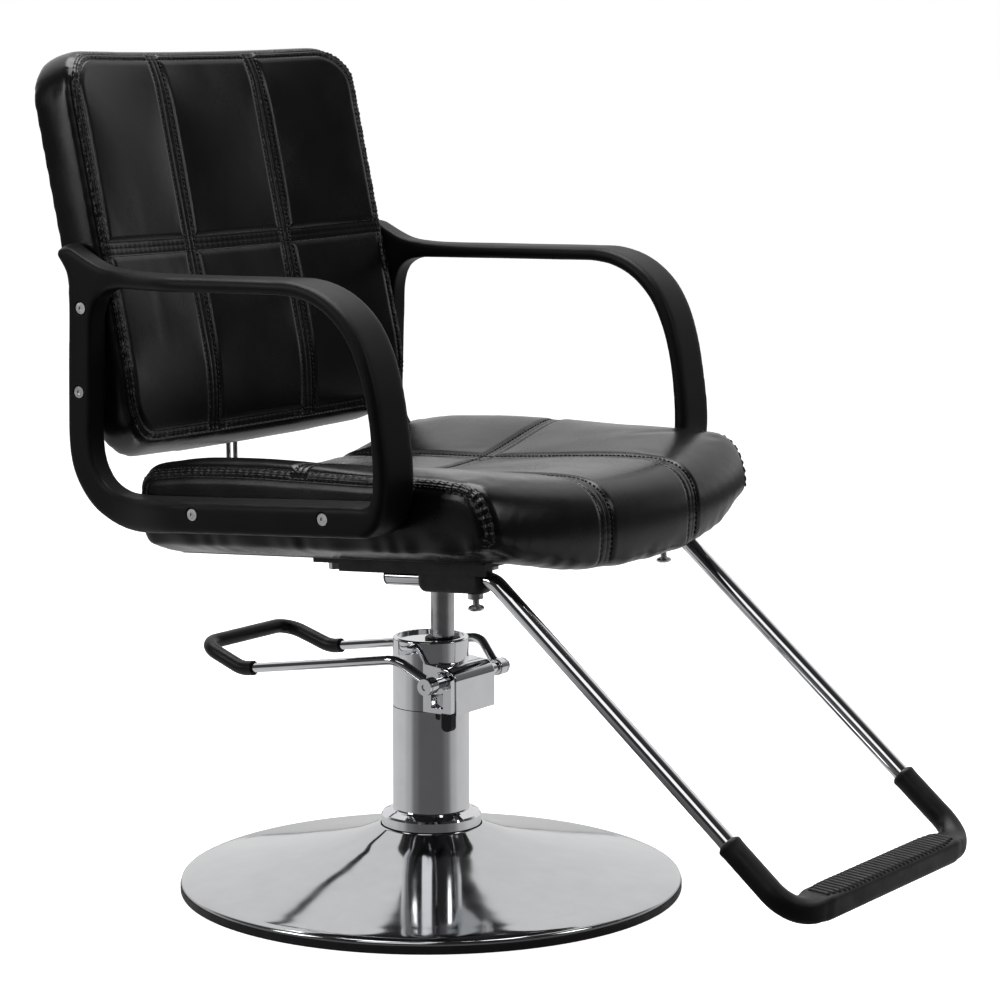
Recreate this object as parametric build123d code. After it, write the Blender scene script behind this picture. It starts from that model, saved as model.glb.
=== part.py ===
from build123d import *
from math import acos, asin, atan2, cos, degrees, pi, radians, sin, sqrt, tan
import os

# Hydraulic styling chair, millimetres, +Z up.
# Origin: centre of the round base on the floor.  The sitter faces -Y, +X is the sitter's left.

# ---- driving dimensions -------------------------------------------------------------------
BASE_R = 250.0          # round base
RIM_Z = 7.0             # height of the chrome rim's lower edge (gasket height)
DOME_TOP = 64.0         # underside of the collar
COLLAR_R = 49.9
COL_R = 38.2            # pump column
SEAM_Z = 184.5          # column / head seam
HEAD_R = 37.8
HEAD_TOP = 254.0
SW_Y = -14.5            # piston and swivel axis
ROD_R = 11.75
LIFT = 120.0
SHAFT_Y, SHAFT_Z = -40.8, 217.2   # pedal shaft axis
SHAFT_R = 5.5
TILT = 3.6              # seat plane rises to the front
SEAT_Z = 357.0          # underside of the seat plane on the swivel axis
RECL = 12.66            # recline of the backrest
BACK_Y, BACK_Z = 244.0, 642.0     # cross seam of the backrest on its front plane
ARM_IN, ARM_OUT = 231.0, 281.0
TUBE_R = 8.0            # footrest tube
TUBE_X = 163.4

nodes = {}


# ---- helpers ------------------------------------------------------------------------------
def cyl(r, z0, z1, x=0.0, y=0.0):
    return Pos(x, y, z0) * Cylinder(r, z1 - z0, align=(Align.CENTER, Align.CENTER, Align.MIN))


def cylx(r, x0, x1, y, z):
    c = Cylinder(r, abs(x1 - x0), align=(Align.CENTER, Align.CENTER, Align.MIN))
    return Pos(min(x0, x1), y, z) * Rot(0, 90, 0) * c


def box(x0, x1, y0, y1, z0, z1):
    return Pos((x0 + x1) / 2, (y0 + y1) / 2, (z0 + z1) / 2) * Box(abs(x1 - x0), abs(y1 - y0), abs(z1 - z0))


def hexz(af, z0, z1, x=0.0, y=0.0):
    return Pos(x, y, z0) * extrude(RegularPolygon(af / sqrt(3), 6), z1 - z0)


def spun(pts):
    return revolve(make_face(Plane.XZ * Polyline(*pts, close=True)), Axis.Z)


def prism_x(pts, x0, x1):
    """Outline in (y, z), extruded along X."""
    f = make_face(Polyline(*[(x0, p[0], p[1]) for p in pts], close=True))
    return extrude(f, amount=x1 - x0, dir=(1, 0, 0))


def spline_outline_x(groups, x0, x1):
    """Closed outline in (y, z); each group is a run of points, smooth inside the run."""
    edges = []
    for i, g in enumerate(groups):
        p = [(x0, a, b) for a, b in g]
        edges.append(Line(p[0], p[1]) if len(p) == 2 else Spline(*p))
    return extrude(make_face(edges), amount=x1 - x0, dir=(1, 0, 0))


def path_of(pts, radii):
    v = [Vector(*p) for p in pts]
    edges, prev = [], v[0]
    for i in range(1, len(v) - 1):
        a = (v[i - 1] - v[i]).normalized()
        b = (v[i + 1] - v[i]).normalized()
        r = radii[i - 1]
        half = acos(max(-1, min(1, a.dot(b)))) / 2
        d = r / tan(half)
        p1, p2 = v[i] + a * d, v[i] + b * d
        bis = (a + b).normalized()
        c = v[i] + bis * (r / sin(half))
        edges.append(Edge.make_line(prev, p1))
        edges.append(Edge.make_three_point_arc(p1, c - bis * r, p2))
        prev = p2
    edges.append(Edge.make_line(prev, v[-1]))
    return Wire(edges)


def rod(pts, radii, r):
    w = path_of(pts, radii)
    d = Vector(*pts[1]) - Vector(*pts[0])
    return sweep(Plane(origin=pts[0], z_dir=d) * Circle(r), path=w)


def mirrored(s):
    return mirror(s, about=Plane.YZ)


def soft_fillet(s, edges, sizes):
    for r in sizes:
        try:
            return fillet(edges, r)
        except Exception:
            continue
    return s


SF = Location((0, SW_Y, SEAT_Z), (-TILT, 0, 0))        # seat frame: u, v, w
BF = Location((0, BACK_Y, BACK_Z), (-RECL, 0, 0))      # back frame: x, depth, height


def seat_pt(u, v, w):
    a = radians(-TILT)
    return (u, SW_Y + v * cos(a) - w * sin(a), SEAT_Z + v * sin(a) + w * cos(a))


def seat_w(y, z):
    """Seat-frame (v, w) of a row-frame (y, z)."""
    a = radians(-TILT)
    dy, dz = y - SW_Y, z - SEAT_Z
    return dy * cos(a) + dz * sin(a), -dy * sin(a) + dz * cos(a)


def back_th(y, z):
    a = radians(-RECL)
    dy, dz = y - BACK_Y, z - BACK_Z
    return dy * cos(a) + dz * sin(a), -dy * sin(a) + dz * cos(a)


# ---- base ---------------------------------------------------------------------------------
nodes["base_gasket"] = spun([(229, 0), (250.2, 0), (250.8, 1.2), (250.8, RIM_Z), (229, RIM_Z)])

outer = [(BASE_R, RIM_Z), (BASE_R, 9.6), (248.6, 11.8), (245, 13.4), (225, 17.8), (200, 23.0), (170, 29.4),
         (140, 36.2), (115, 42.2), (95, 47.6), (80, 52.2), (66, 57.6), (56, 62.0), (52, DOME_TOP)]
inner = [(39.2, DOME_TOP), (39.2, 61.8), (52, 61.4), (64, 55.6), (79, 49.8), (94, 45.2), (114, 39.8), (139, 33.8),
         (169, 27.0), (199, 20.6), (224, 15.4), (240, 12.0), (246.2, 10.4), (247.0, RIM_Z)]
nodes["base_dome"] = spun(outer + inner)

plate = cyl(233, RIM_Z, 12.6) - cyl(16, 0, 20)
foot = cyl(76, 12.6, 21.0) - cyl(COL_R + 0.05, 12, 22)
bolts = None
for k in range(4):
    a = pi / 4 + k * pi / 2
    bx, by = 60 * cos(a), 60 * sin(a)
    plate -= cyl(5.2, 0, 30, bx, by)
    foot -= cyl(5.2, 0, 30, bx, by)
    b = hexz(17, 0.8, RIM_Z, bx, by) + cyl(5.0, RIM_Z - 0.5, 24.0, bx, by)
    bolts = b if bolts is None else bolts + b
nodes["ballast_plate"] = plate
nodes["column_foot"] = foot
nodes["foot_bolts"] = bolts

nodes["column_collar"] = spun([(COL_R + 0.1, DOME_TOP), (COLLAR_R - 0.8, DOME_TOP), (COLLAR_R, DOME_TOP + 0.8),
                               (COLLAR_R, 73.5), (COLLAR_R - 1.4, 75.6), (42.5, 78.6), (40.5, 80.2),
                               (COL_R + 0.1, 80.2)])
nodes["pump_column"] = cyl(COL_R, 12.6, SEAM_Z - 0.6) - cyl(35.0, 12, SEAM_Z)
nodes["inner_cylinder"] = cyl(19.4, 12.6, SEAM_Z - 0.6, 0, SW_Y) - cyl(16.3, 12, SEAM_Z, 0, SW_Y)

# pump head with the pedal boss
head = cyl(HEAD_R, SEAM_Z, HEAD_TOP)
try:
    head = fillet(head.edges().group_by(Axis.Z)[-1], 2.2)
except Exception:
    pass
head -= cyl(33.2, 251.2, 260)
BOSS_X, BOSS_Y = 34.5, -54.3
boss = box(-BOSS_X, BOSS_X, BOSS_Y, -10, SEAM_Z, SHAFT_Z) + cylx(abs(BOSS_Y - SHAFT_Y), -BOSS_X, BOSS_X, SHAFT_Y, SHAFT_Z)
boss += prism_x([(-10, SHAFT_Z), (SHAFT_Y, SHAFT_Z), (SHAFT_Y + 4, SHAFT_Z + 12.9), (-10, SHAFT_Z + 16)], -BOSS_X, BOSS_X)
try:
    boss = fillet(boss.edges().filter_by(Axis.Z).group_by(Axis.Y)[0], 2.5)
except Exception:
    pass
head += boss
head -= cyl(15.1, 180, 235, 0, SW_Y)                       # rod chamber
head -= cyl(ROD_R + 0.4, 230, 260, 0, SW_Y)
head -= cyl(20.2, 236, 246, 0, SW_Y)                       # bush seat, from inside
head -= cylx(SHAFT_R + 0.06, -60, 60, SHAFT_Y, SHAFT_Z)    # shaft bore
head -= cylx(8.6, -BOSS_X - 1, -BOSS_X + 3.0, SHAFT_Y, SHAFT_Z)
head -= box(-BOSS_X - 1, -BOSS_X + 13.5, -49.0, -25.0, 189.5, 206.0)   # valve pocket
head -= cyl(4.1, 246, 260, 20.5, 8.0)                       # filler screw hole
nodes["pump_head"] = head
nodes["rod_bush"] = cyl(20.1, 236.1, 245.9, 0, SW_Y) - cyl(ROD_R + 0.05, 230, 250, 0, SW_Y)
seal = cyl(17.5, 251.2, 254.6, 0, SW_Y)
seal = soft_fillet(seal, seal.edges().group_by(Axis.Z)[-1], (1.6, 1.0))
nodes["rod_wiper_seal"] = seal - cyl(ROD_R + 0.06, 250, 260, 0, SW_Y)
plug = cyl(4.0, 246.2, 251.2, 20.5, 8.0) + cyl(5.6, 251.2, 253.4, 20.5, 8.0)
plug -= box(20.5 - 6, 20.5 + 6, 8.0 - 0.7, 8.0 + 0.7, 252.4, 254)
nodes["oil_filler_screw"] = plug
valve = cylx(5.6, -BOSS_X + 13.5, -BOSS_X + 4.5, -37.0, 197.5)
vh = Pos(-BOSS_X + 4.5, -37.0, 197.5) * Rot(0, -90, 0) * extrude(RegularPolygon(6.4, 6), 3.0)
nodes["valve_plug"] = valve + vh

# ---- piston -------------------------------------------------------------------------------
ROD_TOP = 345.9
prod = cyl(ROD_R, 30.0, ROD_TOP, 0, SW_Y)
prod = soft_fillet(prod, prod.edges().group_by(Axis.Z)[-1], (1.2,))
nodes["piston_rod"] = prod
nodes["piston_head"] = cyl(16.2, 32.0, 52.0, 0, SW_Y) - cyl(ROD_R, 30, 60, 0, SW_Y)

# ---- pedal --------------------------------------------------------------------------------
shaft = cylx(SHAFT_R, -66.0, 66.0, SHAFT_Y, SHAFT_Z)
nodes["pedal_shaft"] = shaft
COLX0, COLX1 = 53.0, 65.0
for side, s in (("right", -1), ("left", 1)):
    c = cylx(8.4, s * COLX0, s * COLX1, SHAFT_Y, SHAFT_Z)
    c = soft_fillet(c, c.edges().filter_by(GeomType.CIRCLE), (1.6, 1.0))
    c -= cylx(SHAFT_R + 0.02, s * 40, s * 80, SHAFT_Y, SHAFT_Z)
    nodes["pedal_collar_" + side] = c
    cap = cylx(8.2, s * 65.0, s * 67.8, SHAFT_Y, SHAFT_Z) - cylx(SHAFT_R + 0.02, s * 60, s * 66.0, SHAFT_Y, SHAFT_Z)
    cap -= Pos(s * 66.4, SHAFT_Y, SHAFT_Z) * Rot(0, 90 * s, 0) * extrude(RegularPolygon(3.4, 6), 4)
    nodes["shaft_end_cap_" + side] = cap

PR = 4.8
pedal_pts = [(-59.0, SHAFT_Y + 5.6, SHAFT_Z + 5.4), (-71.5, -10.0, 242.0), (-72.4, 181.5, 211.4), (-68.5, 236.0, 230.0),
             (68.5, 236.0, 230.0), (72.4, 181.5, 211.4), (71.5, -10.0, 242.0), (59.0, SHAFT_Y + 5.6, SHAFT_Z + 5.4)]
pedal_r = [22, 36, 22, 22, 36, 22]
bar = rod(pedal_pts, pedal_r, PR)
bar -= cylx(8.41, 52.0, 66.0, SHAFT_Y, SHAFT_Z)
bar -= cylx(8.41, -66.0, -52.0, SHAFT_Y, SHAFT_Z)
nodes["pedal_bar"] = bar


def lerp(a, b, t):
    return tuple(a[i] + (b[i] - a[i]) * t for i in range(3))


g0 = lerp(pedal_pts[1], pedal_pts[2], 0.925)
g1 = (-g0[0], g0[1], g0[2])
grip = rod([g0] + pedal_pts[2:6] + [g1], pedal_r[1:5], 7.4)
core = rod(pedal_pts, pedal_r, PR)
nodes["pedal_grip"] = grip - core

ring = cylx(10.6, -44.0, -38.4, SHAFT_Y, SHAFT_Z)
leg = box(-44.0, -38.4, SHAFT_Y - 15.0, SHAFT_Y - 5.5, 183.0, SHAFT_Z + 4.0)
arm_s = ring + leg
arm_s -= cylx(SHAFT_R + 0.02, -60, -20, SHAFT_Y, SHAFT_Z)
nodes["stop_arm"] = arm_s
tip = box(-45.2, -37.2, SHAFT_Y - 16.2, SHAFT_Y - 4.3, 170.5, 188.0)
tip = soft_fillet(tip, tip.edges().filter_by(Axis.X).group_by(Axis.Z)[0], (5.0, 4.0, 2.0))
nodes["stop_arm_tip"] = tip - box(-44.0, -38.4, SHAFT_Y - 15.0, SHAFT_Y - 5.5, 183.0, 200)

# ---- under-seat frame (seat frame coordinates) ----------------------------------------------
hub = cyl(19.0, 314.0, 362.0, 0, SW_Y)
hub -= SF * box(-60, 60, -60, 60, -4.0, 40)
hub = soft_fillet(hub, hub.edges().group_by(Axis.Z)[0], (1.5,))
hub -= cyl(ROD_R + 0.05, 300, ROD_TOP + 0.1, 0, SW_Y)
nodes["hub_socket"] = hub
ribs = None
for k in range(4):
    a = 45 + 90 * k
    web = Pos(0, SW_Y, 0) * Rot(0, 0, a) * (Pos(19.0 + 17, 0, 337) * Box(34, 4, 40))
    cutter = Pos(0, SW_Y, 0) * Rot(0, 0, a) * (Pos(19.0 + 34, 0, 316) * Rot(0, 49, 0) * Box(80, 10, 26))
    web = web - SF * box(-90, 90, -90, 90, -4.0, 40) - cutter - cyl(19.0, 300, 380, 0, SW_Y)
    web = [s for s in web.solids() if s.volume > 50]
    web = max(web, key=lambda s: s.volume)
    ribs = web if ribs is None else ribs + web
nodes["hub_gussets"] = ribs

PL_V0, PL_V1 = -176.0, 22.0
mp = box(-179, 179, PL_V0, PL_V1, -4.0, 0.0)
for s in (-1, 1):
    mp += box(s * 176.2, s * 179, PL_V0, -8.0, -11.5, -3.9)
for (u0, u1, v0, v1) in ((-118, -52, -150, -40), (52, 118, -150, -40)):
    w_ = box(u0, u1, v0, v1, -6, 2)
    w_ = fillet(w_.edges().filter_by(Axis.Z), 12)
    mp -= w_
FB = [(-165, 4.0), (165, 4.0), (-135, -150.0), (135, -150.0)]
for (u, v) in FB:
    mp -= cyl(4.3, -10, 5, u, v)
nodes["mount_plate"] = SF * mp
fb = None
for (u, v) in FB:
    b = hexz(15, -11.2, -4.0, u, v) + cyl(4.0, -4.5, 11.0, u, v)
    fb = b if fb is None else fb + b
nodes["frame_bolts"] = SF * fb

TW = -16.8
SLV0, SLV1 = -168.0, -94.5
for side, s in (("right", -1), ("left", 1)):
    b = box(s * TUBE_X - 12.6, s * TUBE_X + 12.6, SLV0, SLV1, -29.4, -4.0)
    b = fillet(b.edges().filter_by(Axis.Y).group_by(Axis.Z)[0], 9.0)
    try:
        b = fillet(b.edges().filter_by(Axis.X).group_by(Axis.Z)[0], 7.0)
    except Exception:
        pass
    b -= Pos(s * TUBE_X, 0, TW) * Rot(90, 0, 0) * Cylinder(TUBE_R + 0.08, 600)
    b -= cyl(3.2, -40, TW, s * TUBE_X, -153.0)
    nodes["footrest_sleeve_" + side] = SF * b
    n = cyl(7.2, -34.4, -29.4, s * TUBE_X, -153.0) - cyl(3.2, -45, -20, s * TUBE_X, -153.0)
    nodes["clamp_nut_" + side] = SF * n
    kx = s * TUBE_X
    stem = cyl(3.14, -40.5, TW - TUBE_R - 0.12, kx, -153.0)
    hd = Pos(kx, -153.0, 0) * revolve(make_face(Plane.XZ * Polyline((0, -40.0), (3.6, -40.0), (6.8, -41.4), (7.6, -42.8),
                                                                   (7.4, -44.2), (5.0, -45.6), (0, -45.8), close=True)),
                                      Axis.Z)
    nodes["thumb_screw_" + side] = SF * (stem + hd)

# ---- footrest -----------------------------------------------------------------------------
stub = seat_pt(TUBE_X, -56.0, TW)
mouth = seat_pt(TUBE_X, -176.0, TW)
BAR_Y, BAR_Z = -507.0, 84.8
DS = atan2(141.0 - BAR_Z, -440.0 - BAR_Y)      # descent of the straight legs
# corner of the bend: intersection of the sleeve line and the straight leg
sl = tan(radians(TILT))
ly, lz = -440.0, 141.0
k_ = tan(DS)
# sleeve line: z = stub_z - (y - stub_y) * sl ; leg line: z = lz + (y - ly) * k_
yc = (stub[2] + stub[1] * sl - lz + ly * k_) / (k_ + sl)
zc = lz + (yc - ly) * k_
fpts = [(-TUBE_X, stub[1], stub[2]), (-TUBE_X, yc, zc), (-TUBE_X, BAR_Y, BAR_Z), (TUBE_X, BAR_Y, BAR_Z), (TUBE_X, yc, zc),
        (TUBE_X, stub[1], stub[2])]
frad = [20, 30, 30, 20]
tube = rod(fpts, frad, TUBE_R)
e0 = lerp(fpts[0], fpts[1], -0.02)
bore = rod([e0] + fpts[1:5] + [(-e0[0], e0[1], e0[2])], frad, TUBE_R - 1.5)
nodes["footrest_tube"] = tube - bore
pl = None
for s in (-1, 1):
    p = cyl(TUBE_R, 0, 2.0) + cyl(TUBE_R - 1.55, 1.0, 12.0)
    p = Location((s * TUBE_X, stub[1], stub[2]), (90 - TILT, 0, 0)) * (Pos(0, 0, -2.0) * p)
    pl = p if pl is None else pl + p
nodes["footrest_plugs"] = pl
rs = lerp(fpts[1], fpts[2], 1 - 87.0 / sqrt((fpts[1][1] - BAR_Y) ** 2 + (fpts[1][2] - BAR_Z) ** 2))
rub = rod([rs, fpts[2], fpts[3], (-rs[0], rs[1], rs[2])], [30, 30], 11.2)
padb = box(-134, 134, BAR_Y - 17.5, BAR_Y + 17.5, BAR_Z - 12.0, BAR_Z + 12.5)
padb = fillet(padb.edges().filter_by(Axis.X), 8.5)
padb = Pos(0, BAR_Y, BAR_Z) * Rot(4, 0, 0) * Pos(0, -BAR_Y, -BAR_Z) * padb
rub = rub + padb
rub -= rod(fpts, frad, TUBE_R + 0.02)
nodes["footrest_rubber"] = rub

# ---- seat ---------------------------------------------------------------------------------
DISH = 26.0


def seat_section(top0, bottom0, half, lift_b, inset_top=0.0):
    """Dished cross-section in (u, w), as a closed outline."""
    top, n = [], 12
    for i in range(-n, n + 1):
        u = half * i / n
        top.append((u, top0 + DISH * (u / 190.0) ** 2 if abs(u) <= 190 else
                    top0 + DISH * (1 - ((abs(u) - 190.0) / 46.0) ** 2 * 0.55)))
    bot = [(half, bottom0 + lift_b), (186.0, bottom0), (-186.0, bottom0), (-half, bottom0 + lift_b)]
    return top + bot


SV0, SV1 = -246.0, 194.0
sec = seat_section(67.0, 1.2, 228.0, 17.0)
body = extrude(make_face(Polyline(*[(a, SV0 - 10, b) for a, b in sec], close=True)), amount=SV1 - SV0 + 20, dir=(0, 1, 0))
side_pts = [(SV1 - 4, 20), (SV1, 50), (SV1 - 2, 78), (SV1 - 12, 96), (SV1 - 40, 110), (-190, 110), (-206, 104), (-222, 92),
            (-235, 74), (-242, 50), (SV0 + 2, 18), (SV0 + 8, -6), (-222, -16), (-196, -18), (-170, -4), (SV1 - 30, -4),
            (SV1 - 12, 4)]
side = extrude(make_face(Polyline(*[(-260, a, b) for a, b in side_pts], close=True)), amount=520, dir=(1, 0, 0))
plan_pts = []
for i in range(-10, 11):
    u = 178.0 * i / 10
    plan_pts.append((u, SV0 + 9.0 * (u / 178.0) ** 2))
plan = [(178, SV0 + 9)] + [(178 + 50 * sin(radians(t)), SV0 + 59 - 50 * cos(radians(t))) for t in (20, 40, 60, 80, 90)]
plan += [(228, SV1 - 34), (225, SV1 - 18), (216, SV1 - 7), (200, SV1)]
full = plan_pts[:-1] + plan + [(-u, v) for (u, v) in reversed(plan)][:-1]
plan_solid = extrude(make_face(Polyline(*[(a, b, -40) for a, b in full], close=True)), amount=200, dir=(0, 0, 1))
drop = extrude(make_face(Polyline(*[(a, SV0 - 10, b) for a, b in [(-150, 1.2), (-60, -15), (60, -15), (150, 1.2)]],
                                  close=True)), amount=64, dir=(0, 1, 0))
shape = (body + drop) & side & plan_solid

tray_sec = [(-214, 15.5), (-188, 1.5), (188, 1.5), (214, 15.5), (214, 60), (196, 60), (196, 13.4), (-196, 13.4), (-196, 60),
            (-214, 60)]
tray = extrude(make_face(Polyline(*[(a, -178, b) for a, b in tray_sec], close=True)), amount=352, dir=(0, 1, 0))
tray += box(-196, 196, -178, -160, 13.4, 44) + box(-196, 196, 156, 174, 13.4, 50)
for (u, v) in FB:
    tray -= cyl(4.3, -5, 11.1, u, v)
ARM_SEAT = [(70.1, 404.0), (-82.6, 413.0)]
for (y, z) in ARM_SEAT:
    v, w = seat_w(y, z)
    tray -= Pos(0, v, w) * Rot(0, 90, 0) * Cylinder(3.05, 700)
clear = extrude(make_face(Polyline(*[(a, -178.4, b) for a, b in
                                     [(-214.4, 0), (214.4, 0), (214.4, 60.4), (195.6, 60.4), (195.6, 50.4), (-195.6, 50.4),
                                      (-195.6, 60.4), (-214.4, 60.4)]], close=True)), amount=352.8, dir=(0, 1, 0))
pan = box(-195.6, 195.6, -159.6, 155.6, 13.5, 50.6)
cush = shape - (clear - pan)
for (y, z) in ARM_SEAT:
    v, w = seat_w(y, z)
    cush -= Pos(0, v, w) * Rot(0, 90, 0) * Cylinder(3.6, 700)
nodes["seat_cushion"] = SF * max(cush.solids(), key=lambda s: s.volume)
nodes["seat_tray"] = SF * tray
dust = box(-176, 176, -170, 166, 0.05, 1.15)
for (u, v) in FB:
    dust -= cyl(4.3, -5, 5, u, v)
nodes["seat_dust_cover"] = SF * dust

# ---- backrest -----------------------------------------------------------------------------
BH0, BH1, BW = -207.0, 191.0, 227.0


def fx(x):
    return -22.0 * (abs(x) / 225.0) ** 2


def back_slab(front, rear, half, h0, h1, rad):
    n = 14
    pts = [(half * i / n, front(half * i / n)) for i in range(-n, n + 1)]
    pts += [(half * i / n, rear(half * i / n)) for i in range(n, -n - 1, -1)]
    s = extrude(make_face(Polyline(*[(a, b, h0) for a, b in pts], close=True)), amount=h1 - h0, dir=(0, 0, 1))
    k = box(-half, half, -80, 120, h0, h1)
    k = fillet(k.edges().filter_by(Axis.Y), rad)
    return s & k


bc = back_slab(lambda x: fx(x) - 3.0, lambda x: 32.0 - 17.0 * (abs(x) / 225.0) ** 2, BW, BH0, BH1, 48.0)
# rolled top and bottom edges
edge_keep = extrude(make_face(Polyline(*[(-260, a, b) for a, b in [
    (60, BH1), (8, BH1), (-6, BH1 - 6), (-18, BH1 - 16), (-30, BH1 - 40), (-32, 0), (-30, BH0 + 44), (-16, BH0 + 18),
    (-2, BH0 + 6), (12, BH0), (60, BH0)]], close=True)), amount=520, dir=(1, 0, 0))
bc = bc & edge_keep
shell = back_slab(lambda x: 32.2 - 17.0 * (abs(x) / 225.0) ** 2, lambda x: 42.0 - 17.0 * (abs(x) / 225.0) ** 2, BW - 6,
                  BH0 + 6, BH1 - 6, 44.0)
cover = back_slab(lambda x: 42.2 - 17.0 * (abs(x) / 225.0) ** 2, lambda x: 50.5 - 14.0 * (abs(x) / 225.0) ** 2, BW, BH0, BH1,
                  48.0)

# side brackets between the rear arm post and the backrest side
ARM_BACK = [(226.5, 586.3), (230.5, 505.6)]
SIDE_SCREWS = [(234.0, 561.0), (229.5, 531.0)]
for (y, z), r_ in [(p, 2.6) for p in SIDE_SCREWS] + [(p, 3.1) for p in ARM_BACK]:
    t, h = back_th(y, z)
    bore_ = Pos(0, t, h) * Rot(0, 90, 0) * Cylinder(r_, 700)
    bc -= bore_ - Pos(0, 0, 0) * Box(404, 400, 600)
    shell -= bore_ - Pos(0, 0, 0) * Box(404, 400, 600)
nodes["back_cushion"] = BF * max(bc.solids(), key=lambda s: s.volume)

# centre brace: a hairpin of two slim rods behind the backrest, clamped under the seat
BR, BX, BY = 2.3, 5.5, 251.6
lo = seat_pt(0, 120.0, -3.4)
lo2 = seat_pt(0, BY - SW_Y, -3.4)
ub = (BY, 433.0)
ut = (BY + 88.0 * sin(radians(RECL)), 433.0 + 88.0 * cos(radians(RECL)))
hp = [(-BX, lo[1], lo[2]), (-BX, lo2[1], lo2[2]), (-BX, ub[0], ub[1]), (-BX, ut[0], ut[1]), (BX, ut[0], ut[1]),
      (BX, ub[0], ub[1]), (BX, lo2[1], lo2[2]), (BX, lo[1], lo[2])]
brace = rod(hp, [18, 20, 4.5, 4.5, 20, 18], BR)
nodes["back_brace"] = brace
tb, hb = back_th(ub[0] + 50 * sin(radians(RECL)), ub[1] + 50 * cos(radians(RECL)))
t_face = 50.55
clampU = box(-22, 22, t_face, t_face + 7.2, hb - 12, hb + 12)
clampU = fillet(clampU.edges().filter_by(Axis.Y), 4)
clampU -= BF.inverse() * rod(hp, [18, 20, 4.5, 4.5, 20, 18], BR + 0.05)
cs = None
for s in (-1, 1):
    clampU -= Pos(s * 15.5, 60, hb) * Rot(90, 0, 0) * Cylinder(2.1, 60)
    sc = Pos(s * 15.5, t_face + 7.2 + 1.2, hb) * Rot(90, 0, 0) * Cylinder(4.0, 2.4)
    sc += Pos(s * 15.5, t_face + 7.2 - 10, hb) * Rot(90, 0, 0) * Cylinder(2.0, 20)
    cs = sc if cs is None else cs + sc
    for_shell = Pos(s * 15.5, t_face - 6.5, hb) * Rot(90, 0, 0) * Cylinder(2.05, 14)
    shell -= for_shell
    cover -= for_shell
nodes["brace_clamp_upper"] = BF * clampU
nodes["brace_clamp_upper_screws"] = BF * cs
nodes["back_shell"] = BF * shell
nodes["back_cover"] = BF * cover

cl0, cl1 = 128.0, 152.0
clampL = box(-22, 22, cl0, cl1, -7.2, 0.0)
clampL = fillet(clampL.edges().filter_by(Axis.Z), 4)
clampL -= SF.inverse() * rod(hp, [18, 20, 4.5, 4.5, 20, 18], BR + 0.05)
ls = None
for s in (-1, 1):
    clampL -= cyl(2.1, -10, 2, s * 15.5, 140)
    sc = cyl(4.0, -9.6, -7.2, s * 15.5, 140) + cyl(2.0, -7.3, 9.0, s * 15.5, 140)
    ls = sc if ls is None else ls + sc
    nodes["seat_tray"] -= SF * cyl(2.05, -5, 9.1, s * 15.5, 140)
    nodes["seat_dust_cover"] -= SF * cyl(2.05, -5, 9.1, s * 15.5, 140)
nodes["brace_clamp_lower"] = SF * clampL
nodes["brace_clamp_lower_screws"] = SF * ls

# ---- armrests -----------------------------------------------------------------------------
out_top = [(258.0, 645.0), (246.0, 646.0), (235.0, 641.0), (221.0, 634.0), (205.0, 627.5), (180.0, 623.4), (150.0, 622.4),
           (72.0, 623.4), (-16.0, 625.4),
           (-50.0, 625.2), (-74.0, 619.5), (-95.0, 608.5), (-114.0, 591.5), (-129.0, 567.0), (-139.5, 536.0),
           (-146.5, 500.0), (-151.0, 466.0), (-151.6, 447.0), (-148.4, 425.5), (-141.0, 408.5), (-128.0, 398.6)]
out_rest = [(-128.0, 398.6), (98.0, 383.6)]
out_rear = [(98.0, 383.6), (128.0, 380.2), (157.0, 378.4), (187.0, 382.0), (211.6, 393.1), (229.0, 410.0), (240.8, 431.2),
            (245.5, 456.5), (245.4, 497.0), (244.1, 545.0), (242.9, 592.0), (244.0, 606.0), (248.0, 620.0), (255.0, 631.5),
            (262.0, 639.5)]
tip_e = [(262.0, 639.5), (258.0, 645.0)]
loop_out = spline_outline_x([out_top, out_rest, out_rear, tip_e], -ARM_OUT, -ARM_IN)
in_front = [(-132.0, 428.6), (-136.2, 440.0), (-136.4, 470.0), (-131.0, 515.0), (-121.0, 550.0), (-106.0, 578.0),
            (-84.0, 598.5), (-58.0, 609.8), (-34.0, 612.6)]
in_top = [(-34.0, 612.6), (155.0, 608.6), (178.0, 607.4)]
in_back = [(178.0, 607.4), (196.0, 604.0), (208.6, 594.5), (214.4, 578.0), (216.0, 545.0), (217.6, 500.0), (218.0, 456.0),
           (213.5, 436.0), (202.0, 420.0), (184.0, 411.4), (160.0, 409.6)]
in_bot = [(160.0, 409.6), (-118.0, 427.4)]
in_corner = [(-118.0, 427.4), (-126.0, 427.2), (-132.0, 428.6)]
loop_in = spline_outline_x([in_front, in_top[:1] + in_top[2:], in_back, in_bot, in_corner], -ARM_OUT - 1, -ARM_IN + 1)
arm = loop_out - loop_in
arm_e = [e for e in arm.edges() if e.length > 40 and abs(e.center().X + ARM_OUT) < 0.3]
arm = soft_fillet(arm, arm_e, (4.0, 3.0, 2.0))
arm_i = [e for e in arm.edges() if e.length > 60 and abs(e.center().X + ARM_IN) < 0.3]
arm = soft_fillet(arm, arm_i, (3.0, 2.0))
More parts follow.
